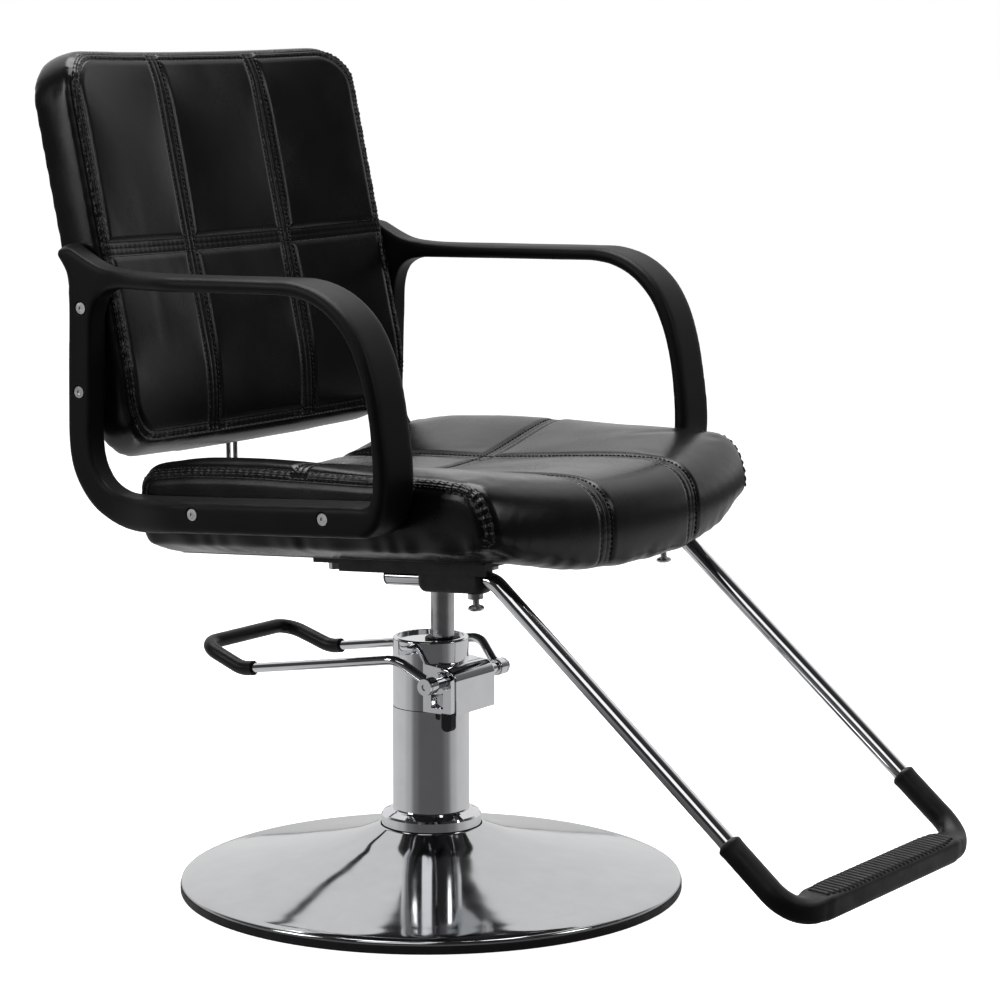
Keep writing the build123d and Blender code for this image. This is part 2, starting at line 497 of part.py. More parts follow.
# the arm narrows towards the rear, so that its post lies flat against the side of the backrest
POST_OUT = 255.0
cut_pts = [(-ARM_OUT - 5, 92.0), (-ARM_OUT, 92.0)]
for i in range(1, 13):
    k = i / 12.0
    cut_pts.append((-ARM_OUT + (ARM_OUT - POST_OUT) * k * k * (3 - 2 * k), 92.0 + 112.0 * k))
cut_pts += [(-POST_OUT, 280.0), (-ARM_OUT - 5, 280.0)]
arm -= extrude(make_face(Polyline(*[(a, b, 340) for a, b in cut_pts], close=True)), amount=360, dir=(0, 0, 1))
for (y, z) in ARM_SEAT:
    arm -= cylx(3.1, -300, -200, y, z)
    arm -= cylx(6.2, -300, -ARM_OUT + 2.2, y, z)
for (y, z) in ARM_BACK:
    arm -= cylx(3.1, -300, -200, y, z)
    arm -= cylx(6.2, -300, -POST_OUT + 2.2, y, z)
nodes["armrest_right"] = arm
nodes["armrest_left"] = mirrored(arm)

scr = None
for (y, z) in ARM_SEAT:
    s_ = cylx(5.6, -ARM_OUT + 0.2, -ARM_OUT + 2.2, y, z) + cylx(3.0, -ARM_OUT + 2.1, -198.0, y, z)
    s_ -= Pos(-ARM_OUT - 0.2, y, z) * Rot(0, 90, 0) * extrude(RegularPolygon(2.6, 6), 1.6)
    scr = s_ if scr is None else scr + s_
for (y, z) in ARM_BACK:
    s_ = cylx(5.6, -POST_OUT + 0.2, -POST_OUT + 2.2, y, z) + cylx(3.0, -POST_OUT + 2.1, -204.0, y, z)
    s_ -= Pos(-POST_OUT - 0.2, y, z) * Rot(0, 90, 0) * extrude(RegularPolygon(2.6, 6), 1.6)
    scr = scr + s_
nodes["arm_screws_right"] = scr
nodes["arm_screws_left"] = mirrored(scr)

# steel side plates between the rear posts and the sides of the backrest
bk = box(-ARM_IN, -BW, 220.5, 242.0, 494.0, 600.0)
bk = fillet(bk.edges().filter_by(Axis.X), 4)
for (y, z) in ARM_BACK:
    bk -= cylx(3.05, -262, -220, y, z)
ss = None
for (y, z) in SIDE_SCREWS:
    bk -= cylx(2.7, -240, -220, y, z)
    bk -= cylx(4.8, -240, -229.0, y, z)
    s_ = cylx(4.6, -230.8, -229.0, y, z) + cylx(2.5, -229.1, -204.0, y, z)
    ss = s_ if ss is None else ss + s_
nodes["back_bracket_right"] = bk
nodes["back_bracket_left"] = mirrored(bk)
nodes["bracket_screws_right"] = ss
nodes["bracket_screws_left"] = mirrored(ss)

# ---- write --------------------------------------------------------------------------------
os.makedirs("parts", exist_ok=True)
for name, shp in nodes.items():
    sol = shp.solids() if hasattr(shp, "solids") else list(shp)
    out = sol[0] if len(sol) == 1 else Compound(children=list(sol))
    export_step(out, "parts/" + name + ".step")
    print(name, len(sol), round(sum(s.volume for s in sol)))
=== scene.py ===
import math

import bmesh
import bpy
import numpy as np
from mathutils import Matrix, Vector
from mathutils.bvhtree import BVHTree
from mathutils.kdtree import KDTree


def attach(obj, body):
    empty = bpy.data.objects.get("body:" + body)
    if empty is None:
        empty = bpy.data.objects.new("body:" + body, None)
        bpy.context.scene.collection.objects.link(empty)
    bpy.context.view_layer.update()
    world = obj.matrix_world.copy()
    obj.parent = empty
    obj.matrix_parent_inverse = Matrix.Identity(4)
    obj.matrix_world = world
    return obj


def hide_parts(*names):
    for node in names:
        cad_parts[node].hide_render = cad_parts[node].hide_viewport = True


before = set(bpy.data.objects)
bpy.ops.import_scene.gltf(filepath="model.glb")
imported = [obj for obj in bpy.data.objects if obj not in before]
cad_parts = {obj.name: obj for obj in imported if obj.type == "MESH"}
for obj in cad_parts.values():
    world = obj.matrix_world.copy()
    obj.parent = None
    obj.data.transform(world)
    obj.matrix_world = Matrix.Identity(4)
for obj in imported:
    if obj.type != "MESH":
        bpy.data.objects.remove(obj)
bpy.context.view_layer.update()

MM = 0.001
TILT = math.radians(3.6)
RECL = math.radians(12.66)
rng = np.random.RandomState(7)
scene = bpy.context.scene
scene.view_settings.view_transform = "Standard"
scene.view_settings.look = "None"


# ---------------------------------------------------------------------- frames of the seat and back
def seat_pt(u, v, w):
    return (u * MM, (-14.5 + math.cos(TILT) * v + math.sin(TILT) * w) * MM,
            (357.0 - math.sin(TILT) * v + math.cos(TILT) * w) * MM)


def back_pt(u, t, h):
    return (u * MM, (244.0 + math.cos(RECL) * t + math.sin(RECL) * h) * MM,
            (642.0 - math.sin(RECL) * t + math.cos(RECL) * h) * MM)


def seat_inv(co):
    y, z = co[:, 1] / MM + 14.5, co[:, 2] / MM - 357.0
    return co[:, 0] / MM, y * math.cos(TILT) - z * math.sin(TILT), y * math.sin(TILT) + z * math.cos(TILT)


def back_inv(co):
    y, z = co[:, 1] / MM - 244.0, co[:, 2] / MM - 642.0
    return co[:, 0] / MM, y * math.cos(RECL) - z * math.sin(RECL), y * math.sin(RECL) + z * math.cos(RECL)


# ---------------------------------------------------------------------- mesh helpers
def new_mesh(name, verts, faces, smooth=True):
    me = bpy.data.meshes.new(name)
    me.from_pydata([tuple(float(c) for c in v) for v in verts], [], [tuple(int(i) for i in f) for f in faces])
    me.validate()
    me.update()
    if smooth:
        me.polygons.foreach_set("use_smooth", [True] * len(me.polygons))
    ob = bpy.data.objects.new(name, me)
    scene.collection.objects.link(ob)
    return ob


def coords(ob):
    a = np.empty(len(ob.data.vertices) * 3)
    ob.data.vertices.foreach_get("co", a)
    return a.reshape(-1, 3)


def set_coords(ob, co):
    ob.data.vertices.foreach_set("co", np.ascontiguousarray(co).ravel())
    ob.data.update()


def normals(ob):
    a = np.empty(len(ob.data.vertices) * 3)
    ob.data.vertices.foreach_get("normal", a)
    return a.reshape(-1, 3)


def bake(ob):
    """The object's mesh with its modifiers applied."""
    dg = bpy.context.evaluated_depsgraph_get()
    me = bpy.data.meshes.new_from_object(ob.evaluated_get(dg))
    old = ob.data
    ob.modifiers.clear()
    ob.data = me
    me.name = ob.name
    bpy.data.meshes.remove(old)
    me.polygons.foreach_set("use_smooth", [True] * len(me.polygons))
    me.update()
    return ob


def fix_normals(ob):
    bm = bmesh.new()
    bm.from_mesh(ob.data)
    bmesh.ops.recalc_face_normals(bm, faces=bm.faces)
    bm.to_mesh(ob.data)
    bm.free()
    ob.data.update()


def remesh(ob, size):
    m = ob.modifiers.new("remesh", "REMESH")
    m.mode = "VOXEL"
    m.voxel_size = size
    m.use_smooth_shade = True
    return bake(ob)


def subdivide(ob, levels=1):
    m = ob.modifiers.new("sub", "SUBSURF")
    m.levels = levels
    m.render_levels = levels
    return bake(ob)


def relax(ob, times, factor=0.5, weight=None):
    """Smooths the mesh, weighted by vertex where a weight is given."""
    me = ob.data
    n = len(me.vertices)
    e = np.empty(len(me.edges) * 2, dtype=np.int64)
    me.edges.foreach_get("vertices", e)
    e = e.reshape(-1, 2)
    co = coords(ob)
    deg = np.bincount(e.ravel(), minlength=n).astype(float)
    deg[deg == 0] = 1
    w = np.ones(n) if weight is None else weight
    for _ in range(times):
        acc = np.zeros_like(co)
        for k in range(3):
            acc[:, k] = np.bincount(e[:, 0], co[e[:, 1], k], n) + np.bincount(e[:, 1], co[e[:, 0], k], n)
        co = co + (acc / deg[:, None] - co) * (factor * w)[:, None]
    set_coords(ob, co)


def loft(name, loops):
    """Closed form through equal-length loops of points, its ends closed by a fan."""
    k = len(loops[0])
    verts = [p for lp in loops for p in lp]
    faces = []
    for i in range(len(loops) - 1):
        for j in range(k):
            a, b = i * k + j, i * k + (j + 1) % k
            faces.append((a, b, b + k, a + k))
    for base, flip in ((0, True), ((len(loops) - 1) * k, False)):
        c = np.mean(np.array(verts[base:base + k]), axis=0)
        verts.append(tuple(c))
        ci = len(verts) - 1
        for j in range(k):
            a, b = base + j, base + (j + 1) % k
            faces.append((ci, b, a) if flip else (ci, a, b))
    ob = new_mesh(name, verts, faces)
    fix_normals(ob)
    return ob


def puff(ob, pin, pressure, cap, frames=20):
    """Blows a closed mesh up as cloth, pinned where pin is 1, and moves no point further than cap (mm, per vertex)."""
    vg = ob.vertex_groups.new(name="pin")
    for i in np.nonzero(pin > 0.01)[0]:
        vg.add([int(i)], float(pin[i]), "REPLACE")
    m = ob.modifiers.new("cloth", "CLOTH")
    s = m.settings
    s.quality = 4
    s.mass = 0.35
    s.tension_stiffness = 18
    s.compression_stiffness = 18
    s.shear_stiffness = 9
    s.bending_stiffness = 0.6
    s.use_pressure = True
    s.uniform_pressure_force = pressure
    s.vertex_group_mass = "pin"
    s.effector_weights.gravity = 0.0
    m.collision_settings.use_collision = False
    m.collision_settings.use_self_collision = False
    m.point_cache.frame_start = 1
    m.point_cache.frame_end = frames
    for f in range(1, frames + 1):
        scene.frame_set(f)
    dg = bpy.context.evaluated_depsgraph_get()
    ev = ob.evaluated_get(dg).to_mesh()
    a = np.empty(len(ev.vertices) * 3)
    ev.vertices.foreach_get("co", a)
    new = a.reshape(-1, 3).copy()
    ob.evaluated_get(dg).to_mesh_clear()
    ob.modifiers.clear()
    ob.vertex_groups.clear()
    scene.frame_set(1)
    old = coords(ob)
    if len(new) == len(old):
        d = new - old
        d[~np.isfinite(d)] = 0.0
        ln = np.linalg.norm(d, axis=1)
        lim = np.asarray(cap) * MM
        k = np.where(ln > lim, lim / np.maximum(ln, 1e-9), 1.0)
        set_coords(ob, old + d * k[:, None])


def lathe(name, profile, seg=256, closed=True):
    """Turns a profile of (r, z) in mm about the Z axis. The profile is a closed outline."""
    verts, faces = [], []
    k = len(profile)
    for i in range(seg):
        a = 2 * math.pi * i / seg
        for (r, z) in profile:
            verts.append((r * math.cos(a) * MM, r * math.sin(a) * MM, z * MM))
    for i in range(seg):
        n = (i + 1) % seg
        for j in range(k if closed else k - 1):
            b = (j + 1) % k
            faces.append((i * k + j, n * k + j, n * k + b, i * k + b))
    ob = new_mesh(name, verts, faces)
    fix_normals(ob)
    return ob


def spline(pts, n, closed=False):
    """n points evenly spaced along a centripetal Catmull-Rom curve through pts."""
    p = np.array(pts, float)
    if closed:
        q = np.vstack([p[-1], p, p[0], p[1]])
    else:
        q = np.vstack([2 * p[0] - p[1], p, 2 * p[-1] - p[-2]])
    out = []
    for i in range(1, len(q) - 2):
        p0, p1, p2, p3 = q[i - 1], q[i], q[i + 1], q[i + 2]
        t0 = 0.0
        t1 = t0 + max(np.linalg.norm(p1 - p0), 1e-6) ** 0.5
        t2 = t1 + max(np.linalg.norm(p2 - p1), 1e-6) ** 0.5
        t3 = t2 + max(np.linalg.norm(p3 - p2), 1e-6) ** 0.5
        for t in np.linspace(t1, t2, 24, endpoint=False):
            a1 = (t1 - t) / (t1 - t0) * p0 + (t - t0) / (t1 - t0) * p1
            a2 = (t2 - t) / (t2 - t1) * p1 + (t - t1) / (t2 - t1) * p2
            a3 = (t3 - t) / (t3 - t2) * p2 + (t - t2) / (t3 - t2) * p3
            b1 = (t2 - t) / (t2 - t0) * a1 + (t - t0) / (t2 - t0) * a2
            b2 = (t3 - t) / (t3 - t1) * a2 + (t - t1) / (t3 - t1) * a3
            out.append((t2 - t) / (t2 - t1) * b1 + (t - t1) / (t2 - t1) * b2)
    out.append(p[0] if closed else p[-1])
    out = np.array(out)
    s = np.r_[0, np.cumsum(np.linalg.norm(np.diff(out, axis=0), axis=1))]
    want = np.linspace(0, s[-1], n, endpoint=not closed)
    return np.stack([np.interp(want, s, out[:, k]) for k in range(out.shape[1])], axis=1)


# ---------------------------------------------------------------------- materials
def mat(name, base, rough, metal=0.0, vary=0.0, rvary=0.06, rscale=25.0, grain=None, wave=None, coat=0.0, coat_rough=0.1,
        spec=0.5, sheen=0.0, scratch=None, dust=None):
    """Procedural finish: colour and roughness wander with noise, and each (scale, strength, distance, kind) adds bump."""
    m = bpy.data.materials.new(name)
    m.use_nodes = True
    nt = m.node_tree
    nt.nodes.clear()
    N, L = nt.nodes.new, nt.links.new
    out = N("ShaderNodeOutputMaterial")
    b = N("ShaderNodeBsdfPrincipled")
    L(b.outputs[0], out.inputs[0])
    b.inputs["Metallic"].default_value = metal
    b.inputs["Specular IOR Level"].default_value = spec
    b.inputs["Coat Weight"].default_value = coat
    b.inputs["Coat Roughness"].default_value = coat_rough
    b.inputs["Sheen Weight"].default_value = sheen
    tc = N("ShaderNodeTexCoord")

    def noise(scale, detail=4.0, stretch=None, rough_=0.55):
        n = N("ShaderNodeTexNoise")
        n.inputs["Scale"].default_value = scale
        n.inputs["Detail"].default_value = detail
        n.inputs["Roughness"].default_value = rough_
        if stretch:
            mp = N("ShaderNodeMapping")
            mp.inputs["Scale"].default_value = stretch
            L(tc.outputs["Object"], mp.inputs["Vector"])
            L(mp.outputs[0], n.inputs["Vector"])
        else:
            L(tc.outputs["Object"], n.inputs["Vector"])
        return n

    n1 = noise(rscale)
    mr = N("ShaderNodeMapRange")
    mr.inputs["From Min"].default_value = 0.3
    mr.inputs["From Max"].default_value = 0.7
    mr.inputs["To Min"].default_value = max(rough - rvary, 0.01)
    mr.inputs["To Max"].default_value = min(rough + rvary, 1.0)
    L(n1.outputs["Fac"], mr.inputs["Value"])
    L(mr.outputs[0], b.inputs["Roughness"])
    ramp = N("ShaderNodeValToRGB")
    lo = [c * (1 - vary) for c in base]
    hi = [min(c * (1 + vary), 1.0) for c in base]
    ramp.color_ramp.elements[0].position = 0.32
    ramp.color_ramp.elements[1].position = 0.68
    ramp.color_ramp.elements[0].color = (*lo, 1)
    ramp.color_ramp.elements[1].color = (*hi, 1)
    if dust:
        e = ramp.color_ramp.elements.new(0.80)
        e.color = (*dust, 1)
    n2 = noise(rscale * 2.7, 5.0)
    L(n2.outputs["Fac"], ramp.inputs["Fac"])
    L(ramp.outputs["Color"], b.inputs["Base Color"])
    last = None
    for spec_ in (grain or []):
        scale, strength, dist, kind = spec_[:4]
        if kind == "voronoi":
            t = N("ShaderNodeTexVoronoi")
            t.feature = "DISTANCE_TO_EDGE"
            t.inputs["Scale"].default_value = scale
            wn = noise(scale * 0.35, 2.0)
            ad = N("ShaderNodeVectorMath")
            ad.operation = "MULTIPLY_ADD"
            L(wn.outputs["Color"], ad.inputs[0])
            ad.inputs[1].default_value = (0.9 / scale,) * 3
            L(tc.outputs["Object"], ad.inputs[2])
            L(ad.outputs[0], t.inputs["Vector"])
            cr = N("ShaderNodeMapRange")
            cr.inputs["From Max"].default_value = 0.22
            L(t.outputs["Distance"], cr.inputs["Value"])
            h = cr.outputs[0]
        elif kind == "wave":
            t = N("ShaderNodeTexWave")
            t.inputs["Scale"].default_value = scale
            t.inputs["Distortion"].default_value = 0.6
            L(tc.outputs["Object"], t.inputs["Vector"])
            h = t.outputs["Fac"]
        elif kind == "brush":
            h = noise(scale, 3.0, stretch=spec_[4]).outputs["Fac"]
        else:
            h = noise(scale, 3.0).outputs["Fac"]
        bp = N("ShaderNodeBump")
        bp.inputs["Strength"].default_value = strength
        bp.inputs["Distance"].default_value = dist
        L(h, bp.inputs["Height"])
        if last is not None:
            L(last.outputs[0], bp.inputs["Normal"])
        last = bp
    if last is not None:
        L(last.outputs[0], b.inputs["Normal"])
        if coat > 0:
            L(last.outputs[0], b.inputs["Coat Normal"])
    return m


M = {}
M["leather"] = mat("leather_black", (0.0032, 0.0032, 0.0034), 0.24, vary=0.25, rvary=0.05, rscale=14, spec=0.40, coat=0.0,
                   coat_rough=0.16,
                   grain=[(520, 0.09, 0.0004, "voronoi"), (1500, 0.04, 0.0002, "noise"), (22, 0.25, 0.0012, "noise")])
M["leather_back"] = mat("leather_rear", (0.008, 0.008, 0.009), 0.36, vary=0.25, rvary=0.06, rscale=12, spec=0.5,
                        grain=[(480, 0.14, 0.0004, "voronoi"), (1300, 0.06, 0.0002, "noise"), (16, 0.3, 0.0015, "noise")])
M["thread"] = mat("thread_black", (0.011, 0.011, 0.0115), 0.45, vary=0.3, rvary=0.1, rscale=400,
                  grain=[(2600, 0.4, 0.0002, "wave")])
M["arm"] = mat("arm_moulded", (0.0052, 0.0052, 0.0054), 0.44, vary=0.18, rvary=0.06, rscale=9, spec=0.17,
               grain=[(900, 0.16, 0.0003, "noise"), (2600, 0.10, 0.00015, "noise")])
M["chrome"] = mat("chrome_plate", (0.78, 0.79, 0.81), 0.055, metal=1.0, vary=0.03, rvary=0.02, rscale=18,
                  grain=[(9, 0.05, 0.001, "noise"), (700, 0.006, 0.0001, "noise")])
# painted shade: the base is the same chrome as chrome_plate, its colour lowered from 0.78 to 0.60 so the dome looks
# darker
M["base"] = mat("chrome_base_painted_shade", (0.60, 0.61, 0.62), 0.075, metal=1.0, vary=0.03, rvary=0.03, rscale=11,
                grain=[(6, 0.05, 0.0015, "noise"), (900, 0.008, 0.0001, "noise")])
M["rod"] = mat("ground_rod", (0.50, 0.50, 0.51), 0.20, metal=1.0, vary=0.08, rvary=0.06, rscale=30,
               grain=[(60, 0.10, 0.0002, "brush", (1, 1, 14))])
M["steel"] = mat("zinc_steel", (0.60, 0.60, 0.61), 0.28, metal=1.0, vary=0.15, rvary=0.09, rscale=60,
                 grain=[(300, 0.08, 0.0002, "noise")])
M["bright"] = mat("bright_screw", (0.86, 0.86, 0.87), 0.34, metal=1.0, vary=0.05, rvary=0.06, rscale=120,
                  grain=[(500, 0.05, 0.0001, "noise")])
M["cast"] = mat("cast_plate", (0.016, 0.016, 0.018), 0.5, metal=0.0, vary=0.3, rvary=0.12, rscale=40,
                grain=[(420, 0.35, 0.0005, "noise"), (90, 0.2, 0.0008, "noise")])
M["paint"] = mat("black_steel", (0.012, 0.012, 0.013), 0.36, vary=0.25, rvary=0.1, rscale=45,
                 grain=[(600, 0.14, 0.0003, "noise")])
M["brass"] = mat("bush_brass", (0.62, 0.45, 0.2), 0.3, metal=1.0, vary=0.12, rvary=0.08, rscale=80,
                 grain=[(400, 0.1, 0.0002, "noise")])
M["rubber"] = mat("black_rubber", (0.0055, 0.0055, 0.0057), 0.46, vary=0.25, rvary=0.09, rscale=40, spec=0.28,
                  grain=[(1100, 0.16, 0.0002, "noise"), (120, 0.12, 0.0004, "noise")])
M["grip"] = mat("grip_rubber", (0.004, 0.004, 0.0042), 0.38, vary=0.25, rvary=0.09, rscale=50, spec=0.25,
                grain=[(240, 0.2, 0.0004, "noise"), (1400, 0.10, 0.00015, "noise")])
M["plastic"] = mat("black_plastic", (0.012, 0.012, 0.012), 0.38, vary=0.2, rvary=0.08, rscale=60,
                   grain=[(800, 0.12, 0.0002, "noise")])
M["gasket"] = mat("gasket_rubber", (0.012, 0.012, 0.012), 0.62, vary=0.25, rvary=0.1, rscale=50,
                  grain=[(900, 0.25, 0.0003, "noise")])
M["dust"] = mat("dust_cloth", (0.012, 0.012, 0.013), 0.9, vary=0.35, rvary=0.05, rscale=300, sheen=0.2,
                grain=[(700, 0.5, 0.0004, "voronoi")])
M["wood"] = mat("plywood_black", (0.02, 0.018, 0.016), 0.6, vary=0.25, rvary=0.1, rscale=14,
                grain=[(60, 0.25, 0.0005, "brush", (1, 12, 12))])

NODE_MAT = {
    "base_gasket": "gasket", "base_dome": "base", "ballast_plate": "cast", "column_foot": "paint", "foot_bolts": "steel",
    "column_collar": "chrome", "pump_column": "chrome", "inner_cylinder": "steel", "pump_head": "chrome",
    "rod_bush": "brass", "rod_wiper_seal": "rubber", "oil_filler_screw": "steel", "valve_plug": "steel",
    "piston_rod": "rod", "piston_head": "steel",
    "pedal_shaft": "chrome", "pedal_collar_right": "chrome", "pedal_collar_left": "chrome", "shaft_end_cap_right": "chrome",
    "shaft_end_cap_left": "chrome", "pedal_bar": "chrome", "pedal_grip": "grip", "stop_arm": "chrome",
    "stop_arm_tip": "rubber",
    "hub_socket": "cast", "hub_gussets": "cast", "mount_plate": "cast", "frame_bolts": "steel",
    "footrest_sleeve_right": "cast", "footrest_sleeve_left": "cast", "clamp_nut_right": "steel", "clamp_nut_left": "steel",
    "seat_tray": "wood", "seat_dust_cover": "dust", "back_shell": "wood", "back_cover": "leather_back",
    "back_brace": "chrome", "brace_clamp_upper": "paint", "brace_clamp_upper_screws": "steel", "brace_clamp_lower": "paint",
    "brace_clamp_lower_screws": "steel", "back_bracket_right": "paint", "back_bracket_left": "paint",
    "bracket_screws_right": "steel", "bracket_screws_left": "steel", "armrest_right": "arm", "armrest_left": "arm",
    "arm_screws_right": "bright", "arm_screws_left": "bright", "footrest_tube": "chrome", "footrest_plugs": "plastic",
    "footrest_rubber": "rubber", "thumb_screw_right": "steel", "thumb_screw_left": "steel",
    "seat_cushion": "leather", "back_cushion": "leather",
}
for node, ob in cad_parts.items():
    key = NODE_MAT.get(node, "paint")
    if not ob.material_slots:
        continue
    for s in ob.material_slots:
        s.link = "OBJECT"
        s.material = M[key]


def dress(ob, key, body):
    ob.data.materials.clear()
    ob.data.materials.append(M[key])
    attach(ob, body)
    return ob


# ---------------------------------------------------------------------- turned chrome
def outer_curve(pts, n):
    return [tuple(p) for p in spline(pts, n)]


dome_top = [(248.6, 11.8), (245, 13.4), (225, 17.8), (200, 23), (170, 29.4), (140, 36.2), (115, 42.2), (95, 47.6), (80, 52.2),
            (66, 57.6), (56, 62), (52, 64)]
skin = [(250.0, 7.0), (250.0, 9.6), (249.6, 10.8)] + outer_curve(dome_top, 90)
inner = [(max(r - 0.4, 50.4), z - 1.4) for (r, z) in skin[3:]][::-1]
dome = lathe("base_dome_skin", skin + [(50.4, 64.0)] + inner + [(248.4, 7.0)], 288)
dress(dome, "base", "base")
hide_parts("base_dome")


# ---------------------------------------------------------------------- seams
class Seam:
    """A sewn line: points on the surface 1 mm apart, with direction and length along it."""

    def __init__(self, pts, half, kind, depth=2.0, pucker=0.3, gather=None, stitch=True):
        p = np.array(pts, float)
        s = np.r_[0, np.cumsum(np.linalg.norm(np.diff(p, axis=0), axis=1))]
        n = max(int(s[-1] / MM), 4)
        w = np.linspace(0, s[-1], n)
        self.p = np.stack([np.interp(w, s, p[:, k]) for k in range(3)], axis=1)
        self.s = w
        self.half, self.kind, self.depth, self.pucker, self.gather, self.stitch = half, kind, depth, pucker, gather, stitch
        self.finish()

    def finish(self):
        k = 4
        q = self.p
        pad = np.vstack([np.repeat(q[:1], k, 0), q, np.repeat(q[-1:], k, 0)])
        sm = sum(pad[i:i + len(q)] for i in range(2 * k + 1)) / (2 * k + 1)
        self.p = sm
        t = np.gradient(sm, axis=0)
        self.t = t / np.maximum(np.linalg.norm(t, axis=1), 1e-9)[:, None]

    def snap(self, bvh):
        out, nn = [], []
        for p in self.p:
            loc, nor, _, _ = bvh.find_nearest(Vector(p))
            out.append(loc if loc is not None else p)
            nn.append(nor if nor is not None else (0, 0, 1))
        self.p = np.array([tuple(o) for o in out])
        self.finish()
        self.n = np.array([tuple(v) for v in nn])


def bvh_of(ob):
    bm = bmesh.new()
    bm.from_mesh(ob.data)
    t = BVHTree.FromBMesh(bm)
    bm.free()
    return t


def refine(ob, seams, reach):
    """Halves the faces near the seams."""
    kd = seam_tree(seams)[0]
    bm = bmesh.new()
    bm.from_mesh(ob.data)
    near = set()
    for v in bm.verts:
        _, _, d = kd.find(v.co)
        if d < reach:
            near.add(v.index)
    edges = [e for e in bm.edges if e.verts[0].index in near and e.verts[1].index in near]
    bmesh.ops.subdivide_edges(bm, edges=edges, cuts=1, use_grid_fill=True, smooth=0.0)
    bm.to_mesh(ob.data)
    bm.free()
    ob.data.polygons.foreach_set("use_smooth", [True] * len(ob.data.polygons))
    ob.data.update()


def seam_tree(seams):
    total = sum(len(s.p) for s in seams)
    kd = KDTree(total)
    ref = []
    i = 0
    for k, s in enumerate(seams):
        for j, p in enumerate(s.p):
            kd.insert(Vector(p), i)
            ref.append((k, j))
            i += 1
    kd.balance()
    return kd, ref


def sew(ob, seams, reach=0.030):
    """Pulls the surface in along the seams: a soft channel, a groove under each row of stitches, and small puckers."""
    kd, ref = seam_tree(seams)
    co, no = coords(ob), normals(ob)
    disp = np.zeros(len(co))
    trees = []
    for s in seams:
        t = KDTree(len(s.p))
        for j, p in enumerate(s.p):
            t.insert(Vector(p), j)
        t.balance()
        trees.append(t)
    for i in range(len(co)):
        v = Vector(co[i])
        _, _, d0 = kd.find(v)
        if d0 > reach:
            continue
        tot, rise = 0.0, 0.0
        for s, t in zip(seams, trees):
            _, j, d = t.find(v)
            if d > reach:
                continue
            T = s.t[j]
            r = co[i] - s.p[j]
            side = np.cross(no[i], T)
            lat = float(np.dot(r, side)) / MM
            al = abs(float(np.dot(r, T))) / MM
            if al > 3.0:          # past the end of the seam
                fade = max(0.0, 1.0 - (al - 3.0) / 6.0)
            else:
                fade = 1.0
            a = s.half
            x = abs(lat)
            if x > 26 or fade == 0:
                continue
            ss = s.s[j] / MM
            sh = min(max((x - a + 0.5) / 7.5, 0.0), 1.0)
            sh = sh * sh * (3 - 2 * sh)
            val = -s.depth * (1 - sh)
            val -= 0.75 * math.exp(-((x - a) / 1.1) ** 2)
            if s.kind == "border":
                val += 1.2 * math.exp(-(x / 3.4) ** 2) - 1.1 * math.exp(-(x / 0.8) ** 2)
            elif s.kind == "flat":
                val -= 0.5 * math.exp(-(x / 0.9) ** 2)
            g = s.pucker
            wide = 2.6
            if s.gather is not None:
                k = s.gather(ss)
                g += k
                wide += 0.8 * k
            ph = 2 * math.pi * (ss / 8.0 + 0.10 * math.sin(ss / 19.0))
            val += g * (0.5 + 0.5 * math.sin(ph) - 0.45) * math.exp(-((x - a * 0.45) / wide) ** 2)
            val *= fade
            tot, rise = min(tot, val), max(rise, val)
        disp[i] = max(tot + (rise if tot > -0.4 else 0.0), -3.6) * MM
    set_coords(ob, co + no * disp[:, None])


def stitches(name, ob, seams, pitch=4.8, length=3.5, r=0.52):
    """Each stitch is a small bent capsule, half sunk in the surface, in rows beside the seams."""
    bvh = bvh_of(ob)
    verts, faces = [], []
    rings, sides = 4, 6
    for s in seams:
        if not s.stitch:
            continue
        for sgn in (-1, 1):
            L = s.s[-1] / MM
            n = int((L - 4) / pitch)
            for k in range(n):
                m = 2.5 + pitch * (k + 0.5)
                j = min(int(m / L * (len(s.p) - 1)), len(s.p) - 1)
                T, Nn = s.t[j], s.n[j]
                side = np.cross(Nn, T)
                side /= max(np.linalg.norm(side), 1e-9)
                c = s.p[j] + side * sgn * s.half * MM
                loc, nor, _, dist = bvh.find_nearest(Vector(c + Nn * 0.0006))
                if loc is None or dist > 0.012:
                    continue
                loc, nor = np.array(loc), np.array(nor)
                X = T - nor * np.dot(T, nor)
                X /= max(np.linalg.norm(X), 1e-9)
                Y = np.cross(nor, X)
                skew = (rng.rand() - 0.5) * 0.16 + sgn * 0.06
                X, Y = X * math.cos(skew) + Y * math.sin(skew), Y * math.cos(skew) - X * math.sin(skew)
                base = len(verts)
                for q in range(rings):
                    f = (q / (rings - 1) - 0.5) * 2
                    rad = r * (0.55 if q in (0, rings - 1) else 1.0)
                    up = 0.30 - 0.42 * f * f
                    for a in range(sides):
                        an = 2 * math.pi * a / sides
                        verts.append(loc + (X * f * length / 2 + Y * math.cos(an) * rad + nor * (up + math.sin(an) * rad)) * MM)
                for q in range(rings - 1):
                    for a in range(sides):
                        b = (a + 1) % sides
                        faces.append((base + q * sides + a, base + q * sides + b, base + (q + 1) * sides + b,
                                      base + (q + 1) * sides + a))
                faces.append(tuple(base + a for a in range(sides))[::-1])
                faces.append(tuple(base + (rings - 1) * sides + a for a in range(sides)))
    o = new_mesh(name, verts, faces)
    fix_normals(o)
    return o


# ---------------------------------------------------------------------- seat cushion
def interp(x, xs, ys):
    return float(np.interp(x, xs, ys))


RISE_U = [0, 30, 47, 76, 105, 133, 160, 188, 205, 213, 220, 225, 230]
RISE_W = [0, 0.4, 1.2, 3.6, 8.4, 14.6, 21.2, 26.8, 29.0, 28.4, 25.6, 20.5, 15]


